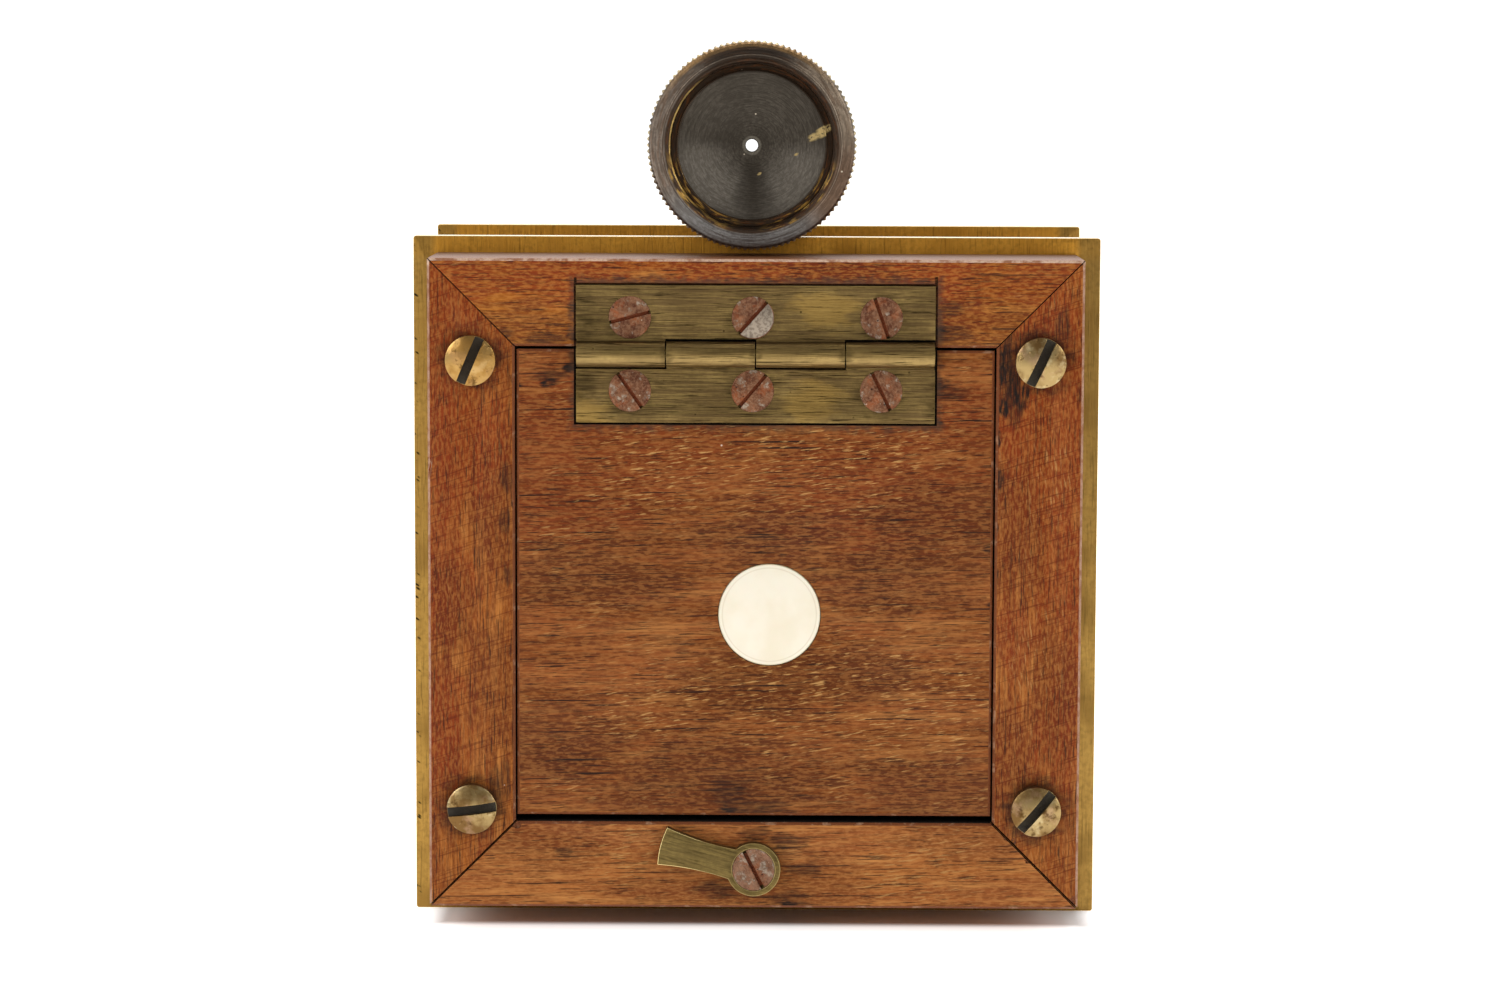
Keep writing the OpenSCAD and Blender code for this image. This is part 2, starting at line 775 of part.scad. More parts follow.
module flange_screws() {
    color(aged_brass) at_flange_screws() against(0, front_y + flange_t, 0)
        flush_screw(small_head_r, small_shank_r, flange_screw_len, 35);
}

// Ring round the lens axis from y, given by its two radii
module lens_ring(y, length, outer, inner) {
    difference() {
        along(0, y, back_mid) cylinder(r = outer, h = length);
        hole(0, back_mid, inner, y, y + length);
    }
}

module lens_barrel() {
    color(brass) difference() {
        along(0, barrel_back, back_mid) cylinder(r = barrel_r, h = barrel_front - barrel_back);
        hole(0, back_mid, shoulder_r, barrel_back, barrel_front);
        along(0, barrel_back - over, back_mid) cylinder(r = bore_r, h = shoulder_y - barrel_back + over);
        along(0, shoulder_y + ring_t, back_mid)
            cylinder(r = bore_r, h = barrel_front - shoulder_y - ring_t + over);
    }
}

module lens_hood() {
    color(brass) difference() {
        along(0, hood_y, back_mid) cylinder(r = hood_r, h = hood_len);
        hole(0, back_mid, bore_r, hood_y, hood_front);
        along(0, hood_y - over, back_mid) cylinder(r = barrel_r + fit, h = hood_lap + over);
    }
}

// Cell along +Z with its lip at z = 0
module cell() {
    difference() {
        cylinder(r = bore_r - fit, h = cell_len);
        translate([0, 0, -over]) cylinder(r = glass_r - lip_w, h = cell_len + 2 * over);
        translate([0, 0, lip_w + lip_sag]) cylinder(r = glass_r + fit, h = cell_len);
    }
}

// Glass along +Z, between two spherical faces
module cell_glass() {
    glass_t = glass_edge_t + 2 * glass_crown;
    translate([0, 0, lip_w + fit / 2]) rotate_extrude() intersection() {
        square([glass_r, glass_t]);
        translate([0, glass_curve]) circle(glass_curve, $fn = fine_fn);
        translate([0, glass_t - glass_curve]) circle(glass_curve, $fn = fine_fn);
    }
}

module cell_ring() {
    translate([0, 0, lip_w + glass_edge_t + 2 * glass_crown - lip_sag + fit]) difference() {
        cylinder(r = glass_r, h = retainer_t);
        translate([0, 0, -over]) cylinder(r = glass_r - lip_w, h = retainer_t + 2 * over);
    }
}

module at_front_cell() {
    along(0, shoulder_y + ring_t, back_mid) children();
}

module at_rear_cell() {
    against(0, shoulder_y - stop_t - ring_t, back_mid) children();
}

module front_cell() {
    color(brass) at_front_cell() cell();
}

module front_glass() {
    color(clear_glass) at_front_cell() cell_glass();
}

module front_retaining_ring() {
    color(aged_brass) at_front_cell() cell_ring();
}

module lens_stop() {
    color(dark_brass) lens_ring(shoulder_y - stop_t, stop_t, bore_r - fit, stop_r);
}

module stop_ring() {
    color(aged_brass) lens_ring(shoulder_y - stop_t - ring_t, ring_t, bore_r - fit, shoulder_r);
}

module rear_cell() {
    color(brass) at_rear_cell() cell();
}

module rear_glass() {
    color(clear_glass) at_rear_cell() cell_glass();
}

module rear_retaining_ring() {
    color(aged_brass) at_rear_cell() cell_ring();
}

module lens_cap() {
    color(brass) difference() {
        along(0, cap_back, back_mid) cylinder(r = cap_bore + cap_wall, h = cap_front - cap_back);
        along(0, cap_back - over, back_mid)
            cylinder(r = cap_bore, h = cap_floor + cap_velvet_t - cap_back + over);
    }
}

module lens_cap_velvet() {
    color(velvet) difference() {
        along(0, cap_back, back_mid) cylinder(r = cap_bore, h = cap_floor + cap_velvet_t - cap_back);
        along(0, cap_back - over, back_mid) cylinder(r = cap_in, h = cap_floor - cap_back + over);
    }
}

module on_finder_axis(y) {
    along(finder_right, y, finder_z) children();
}

module finder_tube() {
    color(dark_brass) difference() {
        on_finder_axis(tube_back) cylinder(r = finder_r, h = finder_len);
        on_finder_axis(tube_back - over) cylinder(r = finder_r - finder_wall, h = finder_len + 2 * over);
    }
}

module at_foot_screws() {
    for (x = [-1, 1]) translate([finder_right + x * foot_screw_x, foot_screw_y, shell_top + foot_t])
        rotate([180, 0, 0]) children();
}

module finder_post() {
    color(aged_brass) difference() {
        translate([finder_right, rear_in + ease, shell_top]) {
            translate([-foot_w / 2, 0, 0]) cube([foot_w, post_depth, foot_t]);
            translate([-post_w / 2, 0, 0]) cube([post_w, post_depth, finder_z - shell_top]);
        }
        on_finder_axis(rear_in - over) cylinder(r = finder_r + fit / 2, h = finder_front + 2 * over);
        at_foot_screws() flush_hole(small_head_r, small_shank_r, foot_t + shell_t);
    }
}

module finder_post_screws() {
    color(aged_brass) at_foot_screws()
        flush_screw(small_head_r, small_shank_r, foot_t + shell_t, 40);
}

module finder_mask() {
    color(dark_brass) difference() {
        on_finder_axis(tube_front - mask_t) cylinder(r = finder_r - finder_wall - fit, h = mask_t);
        slab(tube_front - mask_t - over, mask_t + 2 * over) translate([finder_right, finder_z])
            square(mask_w, center = true);
    }
}

// Knurled ring with a lip that holds the eye disc against the tube's end
module eye_ring() {
    root_r = eye_r - knurl_depth;
    bed_r = root_r - 0.1;
    bevel = 0.5;
    color(dark_brass) on_finder_axis(eye_y) difference() {
        union() {
            rotate_extrude()
                polygon([[0, bevel], [eye_lip_r + bevel, 0], [eye_face_r, bevel], [bed_r, 2 * bevel],
                    [bed_r, eye_len - bevel], [eye_face_r, eye_len], [0, eye_len]]);
            translate([0, 0, 2 * bevel]) linear_extrude(eye_len - 3 * bevel)
                polygon([for (i = [0 : 2 * knurl_count - 1])
                    (i % 2 == 0 ? eye_r : root_r) *
                        [cos(180 * i / knurl_count), sin(180 * i / knurl_count)]]);
        }
        translate([0, 0, eye_lip_t]) cylinder(r = finder_r + fit, h = eye_len);
        translate([0, 0, -over]) cylinder(r = eye_lip_r, h = eye_len);
    }
}

module eye_disc() {
    dish_curve = (pow(eye_boss_r, 2) + pow(eye_dish, 2)) / (2 * eye_dish);
    boss_t = eye_lip_t - face_gap;
    color(dark_brass) on_finder_axis(disc_seat - boss_t) rotate_extrude() difference() {
        union() {
            translate([peep_r, boss_t]) square([finder_r - 2 * fit - peep_r, eye_disc_t]);
            translate([peep_r, 0]) square([eye_boss_r - peep_r, boss_t + eye_disc_t]);
        }
        translate([0, eye_dish - dish_curve]) circle(dish_curve, $fn = fine_fn);
    }
}

module on_level() {
    translate([-level_left, 0, shell_top]) children();
}

module at_level_screws() {
    for (turn = [90, 210, 330]) on_level() rotate([0, 0, turn])
        translate([level_screw_r, 0, level_flange_t]) rotate([180, 0, 0]) children();
}

module level_case() {
    color(brass) difference() {
        on_level() {
            cylinder(r = level_r, h = level_flange_t);
            cylinder(r = level_cup_r, h = level_h);
        }
        on_level() translate([0, 0, level_floor]) cylinder(r = level_cup_r - level_wall, h = level_h);
        at_level_screws() flush_hole(small_head_r, small_shank_r, level_flange_t + shell_t);
    }
}

module level_glass() {
    r = level_cup_r - level_wall - fit;
    crown = 0.4;
    curve = (pow(r, 2) + pow(crown, 2)) / (2 * crown);
    height = level_h - level_floor - fit;
    color(clear_glass) on_level() translate([0, 0, level_floor]) rotate_extrude() intersection() {
        square([r, height]);
        translate([0, height - curve]) circle(curve, $fn = fine_fn);
    }
}

module level_screws() {
    color(aged_brass) at_level_screws()
        flush_screw(small_head_r, small_shank_r, level_flange_t + shell_t, 25);
}

rear_plate();
front_plate();
body_shell();
corner_posts();
rear_plate_screws();
front_plate_screws();
stand_bush();
bush_screws();
back_rail_top();
back_rail_bottom();
back_stile_left();
back_stile_right();
back_screws();
door_seal();
plate_corner_rests();
hinge_leaf_frame();
hinge_screws_frame();
hinge_pin();
catch_washer();
catch_screw();
lens_flange();
flange_screws();
lens_barrel();
lens_hood();
front_cell();
front_glass();
front_retaining_ring();
lens_stop();
stop_ring();
rear_cell();
rear_glass();
rear_retaining_ring();
finder_tube();
finder_post();
finder_post_screws();
finder_mask();
level_case();
level_glass();
level_screws();
door_panel();
hinge_leaf_door();
hinge_screws_door();
bone_disc();
pressure_spring();
spring_screw();
turn_catch();
lens_cap();
lens_cap_velvet();
eye_ring();
eye_disc();
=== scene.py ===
"""Looks of a small wet plate camera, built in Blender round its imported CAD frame.

Sizes are in millimetres unless a name says otherwise, and the meshes are in metres. X is to the
right as seen from the door side, +Y is the way the lens looks and Z is up.
"""

import logging
import math
import random
from dataclasses import dataclass
from enum import Enum
from functools import cache

import bmesh
import bpy
from mathutils import Matrix, Vector, noise


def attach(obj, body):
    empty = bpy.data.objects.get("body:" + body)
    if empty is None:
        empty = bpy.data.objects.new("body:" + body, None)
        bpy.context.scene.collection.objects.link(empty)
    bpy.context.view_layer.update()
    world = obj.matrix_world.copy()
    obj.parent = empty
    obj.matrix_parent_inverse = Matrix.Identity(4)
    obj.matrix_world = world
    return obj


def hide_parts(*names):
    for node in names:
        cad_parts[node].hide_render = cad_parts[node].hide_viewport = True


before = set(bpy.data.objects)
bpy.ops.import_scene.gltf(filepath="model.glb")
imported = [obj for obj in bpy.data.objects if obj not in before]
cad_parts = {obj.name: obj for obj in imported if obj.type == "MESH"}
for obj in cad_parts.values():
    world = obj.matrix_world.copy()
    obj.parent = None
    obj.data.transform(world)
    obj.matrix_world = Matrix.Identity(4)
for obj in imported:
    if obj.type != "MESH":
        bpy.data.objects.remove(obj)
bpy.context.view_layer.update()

Point = tuple[float, float]
Triple = tuple[float, float, float]
Four = tuple[float, float, float, float]
Spots = tuple[Triple, ...]

MM = 0.001
LENS_AXIS: Point = (0.0, 50.5)
EYE_AXIS: Point = (-0.7, 112.85)
HINGE_PLATE: Four = (0, 83.6, 25.5, 10.0)  # middle and half sizes of both leaves
HINGE_BED: tuple[Triple, Triple] = ((-25.3, -40.2, 73.9), (25.3, -38.5, 93.4))
log = logging.getLogger("wet_plate_camera")


class Body(Enum):
    """Bodies of the frame that the pieces move with."""

    CAMERA = "camera"
    DOOR = "door"
    CATCH = "catch"
    CAP = "cap"
    EYEPIECE = "eyepiece"


class Pattern(Enum):
    """Kinds of pattern that a finish is layered from."""

    CLOUDS = "soft patches or, when stretched, fibres and brush marks"
    DOTS = "separate grains, pits or flecks"


class Along(Enum):
    """Direction in which a board's grain runs."""

    X = 0.0
    Z = 90.0


def linear(code: str) -> Four:
    """Turns an sRGB hex colour into linear light.

    Args:
        code: Six hex digits after a hash.

    Returns:
        Red, green, blue and an alpha of one.
    """
    parts = [int(code[i : i + 2], 16) / 255 for i in (1, 3, 5)]
    return (*(p / 12.92 if p <= 0.04045 else ((p + 0.055) / 1.055) ** 2.4 for p in parts), 1.0)


def source(value: object) -> object:
    """Finds the socket behind an amount or a node.

    Args:
        value: Amount, node, socket or plain value.

    Returns:
        The socket, or the plain value as it is.
    """
    if isinstance(value, bpy.types.Node):
        return next(s for s in value.outputs if s.enabled)
    return value.socket if isinstance(value, Amount) else value


def add(tree: bpy.types.NodeTree, kind: str, put: dict | None = None, **settings: object) -> bpy.types.Node:
    """Adds one node with its settings, values and links.

    Args:
        tree: Node tree that gets the node.
        kind: Blender's name for the kind of node.
        put: Socket names or numbers, each with a value, with what to link to it, or with a list of links.
        settings: Properties of the node itself.

    Returns:
        The new node.
    """
    node = tree.nodes.new(kind)
    for name, value in settings.items():
        setattr(node, name, value)
    for key, value in (put or {}).items():
        socket = node.inputs[key] if isinstance(key, int) else next(
            s for s in node.inputs if s.enabled and s.name == key)
        for start in map(source, value if isinstance(value, list) else [value]):
            if isinstance(start, bpy.types.NodeSocket):
                tree.links.new(start, socket)
            else:
                socket.default_value = start
    return node


class Amount:
    """A number that a node tree works out, which sums as a plain number does."""

    def __init__(self, origin: bpy.types.Node | bpy.types.NodeSocket) -> None:
        """Takes a socket, or the first socket that a node gives."""
        self.socket, self.tree = source(origin), origin.id_data

    def __add__(self, other: object) -> "Amount":
        """Adds another."""
        return Amount(add(self.tree, "ShaderNodeMath", {0: self, 1: other}, operation="ADD"))

    def __sub__(self, other: object) -> "Amount":
        """Takes another away."""
        return Amount(add(self.tree, "ShaderNodeMath", {0: self, 1: other}, operation="SUBTRACT"))

    def __rsub__(self, other: float) -> "Amount":
        """Takes this away from a plain number."""
        return Amount(add(self.tree, "ShaderNodeMath", {0: other, 1: self}, operation="SUBTRACT"))

    def __mul__(self, other: object) -> "Amount":
        """Multiplies by another."""
        return Amount(add(self.tree, "ShaderNodeMath", {0: self, 1: other}, operation="MULTIPLY"))

    def __truediv__(self, other: object) -> "Amount":
        """Divides by another."""
        return Amount(add(self.tree, "ShaderNodeMath", {0: self, 1: other}, operation="DIVIDE"))

    def most(self, other: object) -> "Amount":
        """Gives the larger of this and another."""
        return Amount(add(self.tree, "ShaderNodeMath", {0: self, 1: other}, operation="MAXIMUM"))

    def rise(self, none: float, full: float) -> "Amount":
        """Rises smoothly from nought at none to one at full, and none may be above full."""
        return Amount(add(self.tree, "ShaderNodeMapRange", {"Value": self, "From Min": none, "From Max": full},
                          interpolation_type="SMOOTHSTEP"))


class Layers:
    """One material, laid on coat by coat over its first colour."""

    def __init__(self, name: str, first: str, turn: float = 0.0) -> None:
        """Starts a material in one colour.

        Args:
            name: Name of the real material and its finish.
            first: Colour under all coats.
            turn: Direction of its grain in degrees, counter-clockwise as seen from the door side.
        """
        self.material = bpy.data.materials.new(name)
        self.material.use_nodes = True
        self.tree = self.material.node_tree
        self.tree.nodes.clear()
        self.place = add(self.tree, "ShaderNodeTexCoord").outputs["Object"]
        self.turn = turn
        self.colour: object = linear(first)

    def at(self, size: float | Triple, turn: float = 0.0, centre: Triple = (0, 0, 0)) -> bpy.types.Node:
        """Measures the place on the piece in units of a pattern's own size.

        Args:
            size: Feature size, the same all ways or along X, Y and Z.
            turn: Turn of the pattern in degrees.
            centre: Point that the pattern is centred on.

        Returns:
            The node that gives the place.
        """
        sizes = size if isinstance(size, tuple) else (size,) * 3
        return add(self.tree, "ShaderNodeMapping", {
            "Vector": self.place, "Location": tuple(c * MM for c in centre),
            "Rotation": (0, -math.radians(turn), 0), "Scale": tuple(s * MM for s in sizes),
        }, vector_type="TEXTURE")

    def along(self, axis: str, turn: float = 0.0, centre: Triple = (0, 0, 0)) -> Amount:
        """Gives the place along one axis in millimetres, from a centre and turned about Y."""
        return Amount(add(self.tree, "ShaderNodeSeparateXYZ", {0: self.at(1, turn, centre)}).outputs[axis])

    def spoke(self, x: float, z: float, stretch: float = 1.0, turn: float = 0.0) -> bpy.types.Node:
        """Gives the way out from a line along Y, in millimetres.

        Args:
            x: Place of the line.
            z: Its height.
            stretch: How many times further things lie along the grain than they seem.
            turn: Direction of the grain in degrees.

        Returns:
            The node that gives the way, with nought along Y.
        """
        return add(self.tree, "ShaderNodeVectorMath", {0: self.at((stretch, 1, 1), turn, (x, 0, z)), 1: (1, 0, 1)},
                   operation="MULTIPLY")

    def length(self, way: bpy.types.Node) -> Amount:
        """Gives how long a way is."""
        return Amount(add(self.tree, "ShaderNodeVectorMath", {0: way}, operation="LENGTH").outputs["Value"])

    def beyond(self, centre: Triple, half: Triple) -> bpy.types.Node:
        """Gives how far a place lies beyond a box along each axis, below nought inside it.

        Args:
            centre: Middle of the box.
            half: Its half sizes.

        Returns:
            The node that gives the three distances.
        """
        away = add(self.tree, "ShaderNodeVectorMath", {0: self.at(1, centre=centre)}, operation="ABSOLUTE")
        return add(self.tree, "ShaderNodeVectorMath", {0: away, 1: half}, operation="SUBTRACT")

    def outside(self, centre: Triple, half: Triple, across: str = "Z") -> Amount:
        """Gives the distance in millimetres outside a rectangle that is square to the axes.

        Args:
            centre: Middle of the rectangle.
            half: Its half sizes.
            across: Its second axis beside X.

        Returns:
            The distance, below nought inside.
        """
        away = add(self.tree, "ShaderNodeSeparateXYZ", {0: self.beyond(centre, half)}).outputs
        return Amount(away["X"]).most(away[across])

    def mask(self, size: float | Triple, low: float, high: float, pattern: Pattern = Pattern.CLOUDS, *,
             turn: float | None = None, seed: float = 0.0, detail: float = 2.0, share: float = 1.0,
             bend: float = 0.0) -> Amount:
        """Makes a mask from nought to one out of a pattern.

        Args:
            size: Feature size, the same all ways or along X, Y and Z.
            low: Pattern value where the mask is nought.
            high: Pattern value where the mask is one.
            pattern: Kind of pattern.
            turn: Turn of the pattern in degrees, that of the grain where none is given.
            seed: Number that picks another copy of the pattern.
            detail: Finer octaves in clouds.
            share: Share of the dots that are drawn.
            bend: How far the pattern wanders, in its own sizes.

        Returns:
            The mask.
        """
        place = self.at(size, self.turn if turn is None else turn)
        if bend:
            drift = add(self.tree, "ShaderNodeTexNoise", {"Vector": place, "Scale": 0.35, "Detail": 1.0})
            place = add(self.tree, "ShaderNodeVectorMath", {0: drift.outputs["Color"], 1: (bend,) * 3, 2: place},
                        operation="MULTIPLY_ADD")
        if pattern is Pattern.CLOUDS:
            return Amount(add(self.tree, "ShaderNodeTexNoise", {
                "Vector": place, "W": seed, "Scale": 1.0, "Detail": detail, "Roughness": 0.55,
            }, noise_dimensions="4D")).rise(low, high)
        cells = add(self.tree, "ShaderNodeTexVoronoi", {"Vector": place, "W": seed, "Scale": 1.0},
                    voronoi_dimensions="4D").outputs
        drawn = add(self.tree, "ShaderNodeMath", {0: cells["Color"], 1: share}, operation="LESS_THAN")
        return Amount(cells["Distance"]).rise(low, high) * drawn

    def spots(self, places: Spots, ragged: float = 0.5, stretch: float = 1.0, turn: float | None = None) -> Amount:
        """Makes a mask of soft spots with ragged edges.

        Args:
            places: X, Z and radius of each spot.
            ragged: How far the edges wander, in radii.
            stretch: How much longer than wide they are.
            turn: Direction of their length in degrees, that of the grain where none is given.

        Returns:
            The mask.
        """
        turn = self.turn if turn is None else turn
        wander = self.mask((2.2 * stretch, 2.2, 1.2), 0.28, 0.72, turn=turn, detail=4) * ragged
        total: object = 0.0
        for x, z, r in places:
            reach = self.length(self.spoke(x, z, stretch, turn)) / r - wander
            total = reach.rise(1.0, 0.2).most(total)
        return total

    def blend(self, under: object, over: object, mask: Amount) -> bpy.types.Node:
        """Lays one colour over another by a mask, each a hex code or what gives it."""
        under, over = (linear(c) if isinstance(c, str) else c for c in (under, over))
        return add(self.tree, "ShaderNodeMix", {0: mask, 6: under, 7: over}, data_type="RGBA")

    def coat(self, colour: object, mask: Amount, strength: float = 1.0) -> None:
        """Lays a coat over all that is there already.

        Args:
            colour: Hex code, or the node that gives the colour.
            mask: Where it covers.
            strength: How well it covers there.
        """
        self.colour = self.blend(self.colour, colour, mask if strength == 1.0 else mask * strength)

    def finish(self, roughness: object, *, metallic: object = 0.0, height: Amount | None = None,
               depth: float = 0.05, glow: Amount | None = None, fixed: dict | None = None) -> bpy.types.Material:
        """Ends the material in its shader.

        Args:
            roughness: Roughness, a number or an amount.
            metallic: Metallic, a number or an amount.
            height: Relief, if there is any.
            depth: Height of the relief in millimetres.
            glow: Strength of its own white light, if it has any.
            fixed: Other inputs of the shader that are the same all over.

        Returns:
            The finished material.
        """
        put = {"Base Color": self.colour, "Roughness": roughness, "Metallic": metallic, **(fixed or {})}
        if glow:
            put |= {"Emission Color": (1, 1, 1, 1), "Emission Strength": glow}
        if height:
            put["Normal"] = add(self.tree, "ShaderNodeBump", {"Height": height, "Distance": depth * MM})
        add(self.tree, "ShaderNodeOutputMaterial", {"Surface": add(self.tree, "ShaderNodeBsdfPrincipled", put)})
        return self.material


@dataclass(frozen=True)
class Wood:
    """Oiled and thinly varnished mahogany, planed by hand and worn.

    Open pores show as short dark dashes along the grain, and rubbed fibres as pale flecks. The
    real pores are some 0.1 mm wide; they are drawn at 0.2 mm to show.

    Attributes:
        slant: How far the grain runs off the board, in degrees.
        streaks: Strength of the long dark lines.
        flecks: Strength of the pale flecks.
        saw: Strength of the slanting saw marks.
        fleck_zones: Where the flecks are thick.
        stains: Dirt that follows the grain.
        blacks: Black stains that soaked in.
        halos: Grime round screw heads.
        reds: Redder patches on the front.
        shades: Darker patches.
        seams: Rectangles round whose edges the wood is darkened, with grime and painted shade.
    """

    name: str
    along: Along
    deep: str
    dark: str
    middle: str
    light: str
    red: str = "#722704"
    fleck: str = "#ae834c"
    grime: str = "#241108"
    slant: float = 0.0
    streaks: float = 0.5
    flecks: float = 0.5
    saw: float = 0.0
    seed: float = 0.0
    fleck_zones: Spots = ()
    stains: Spots = ()
    blacks: Spots = ()
    halos: Spots = ()
    reds: Spots = ()
    shades: Spots = ()
    seams: tuple[Four, ...] = ()

    def material(self) -> bpy.types.Material:
        """Lays figure, fibres, pores and wear, in that order.

        Returns:
            The finished material.
        """
        turn, seed = self.along.value + self.slant, self.seed
        w = Layers(self.name, self.dark, turn)
        figure = w.mask((36, 6, 2.8), 0.42, 0.58, seed=seed, detail=4, bend=0.4)
        glow = w.mask((18, 4, 1.3), 0.5, 0.66, seed=seed + 3, detail=4, bend=0.4)
        fibre = w.mask((4.2, 0.5, 0.24), 0.38, 0.6, seed=seed + 5, detail=3, bend=0.5)
        grain = w.mask((1.1, 0.5, 0.34), 0.42, 0.62, seed=seed + 7)
        streak = w.mask((15, 0.6, 0.34), 0.612, 0.638, seed=seed + 9, detail=4, bend=0.5)
        pores = w.mask((3.6, 0.4, 0.2), 0.59, 0.65, seed=seed + 1, detail=3)
        flecks = w.mask((2.3, 0.4, 0.26), 0.56, 0.65, turn=turn + 8, seed=seed + 2, detail=4)
        dust = w.mask(1.7, 0.1, 0.06, Pattern.DOTS, turn=0, seed=seed + 4, share=0.12)
        front = w.along("Y").rise(-39.4, -40.2)
        w.coat(self.middle, figure)
        w.coat(self.light, glow, 0.8)
        if self.reds:
            w.coat(self.red, w.spots(self.reds, 0.7, 2.0) * front, 0.75)
        if self.shades:
            w.coat(self.deep, w.spots(self.shades, 0.9, 2.4), 0.55)
        w.coat(self.deep, 1 - fibre, 0.52)
        w.coat(self.light, grain, 0.35)
        w.coat(self.grime, streak, self.streaks)
        w.coat(self.grime, pores, 0.75)
        zones = w.mask((9, 6, 4), 0.5, 0.66, seed=seed + 11) * 0.6
        if self.fleck_zones:
            zones = zones.most(w.spots(self.fleck_zones, 0.7, 1.6, turn + 8))
        w.coat(self.fleck, flecks * zones, self.flecks)
        height = fibre * 0.25 - (pores + streak * 0.5)
        if self.saw:
            cuts = w.mask((7, 7, 0.26), 0.54, 0.64, turn=18, seed=seed + 13) * front
            w.coat(self.deep, cuts, self.saw)
            height = height - cuts * 0.3
        if self.stains:
            w.coat(self.grime, w.spots(self.stains, 0.9, 2.2) * (1 - fibre * 0.5), 0.7)
        if self.blacks:
            soaked = w.mask((1.7, 1.1, 0.34), 0.36, 0.6, seed=seed + 17, detail=5) * 0.8 + 0.2
            w.coat("#1a100b", w.spots(self.blacks, 1.1, 1.8) * soaked)
        if self.halos:
            w.coat(self.grime, w.spots(self.halos, 0.5, turn=0), 0.85)
        # Grime and painted shade along the edges of each rectangle, such as round the hinge.
        for x, z, half_x, half_z in self.seams:
            ragged = w.mask(1.4, 0.3, 0.7, turn=0, seed=seed + 15, detail=4)
            reach = w.outside((x, 0, z), (half_x, 0, half_z)) - ragged * 1.1
            w.coat("#3d2a1e", reach.rise(0.9, -0.6), 0.7)
        w.coat("#cfc0b0", dust, 0.7)
        return w.finish(fibre * 0.14 + 0.42, height=height, fixed={"Specular IOR Level": 0.12})


@dataclass(frozen=True)
class WornWood:
    """The same wood rubbed pale at an arris, with a painted highlight along the top, or black inside a gap with old
    dirt and painted shade.

    Attributes:
        patch: Colour of its patches.
        low: Pattern value where there is no patch.
        high: Pattern value where the patch is full.
        shaded: Colour of the painted shade that it turns to away from the front, if it has any.
        shine: Strength of its gloss.
        grain: Feature size of the patches.
        most_above: Height above which the pale patches are full, as a painted highlight along the top, if they aren't
            everywhere.
    """

    name: str
    base: str
    patch: str
    low: float
    high: float
    roughness: float = 0.6
    shaded: str = ""
    shine: float = 0.25
    grain: float | Triple = 1.6
    most_above: float | None = None

    def material(self) -> bpy.types.Material:
        """Lays rubbed patches over the base.

        Returns:
            The finished material.
        """
        w = Layers(self.name, self.base)
        patch = w.mask(self.grain, self.low, self.high, detail=5)
        fine = w.mask(0.35, 0.4, 0.65, seed=4.0)
        # Painted highlight: the pale patches are fuller along the top.
        if self.most_above is not None:
            patch = patch * (w.along("Z").rise(self.most_above - 0.6, self.most_above) * 0.6 + 0.4)
        w.coat(self.patch, patch)
        w.coat(self.base, fine, 0.4)
        # Painted shade: darker further back from the front.
        if self.shaded:
            w.coat(self.shaded, w.along("Y").rise(-40.0, -27.0), 0.9)
        return w.finish(self.roughness, height=fine, fixed={"Specular IOR Level": self.shine})


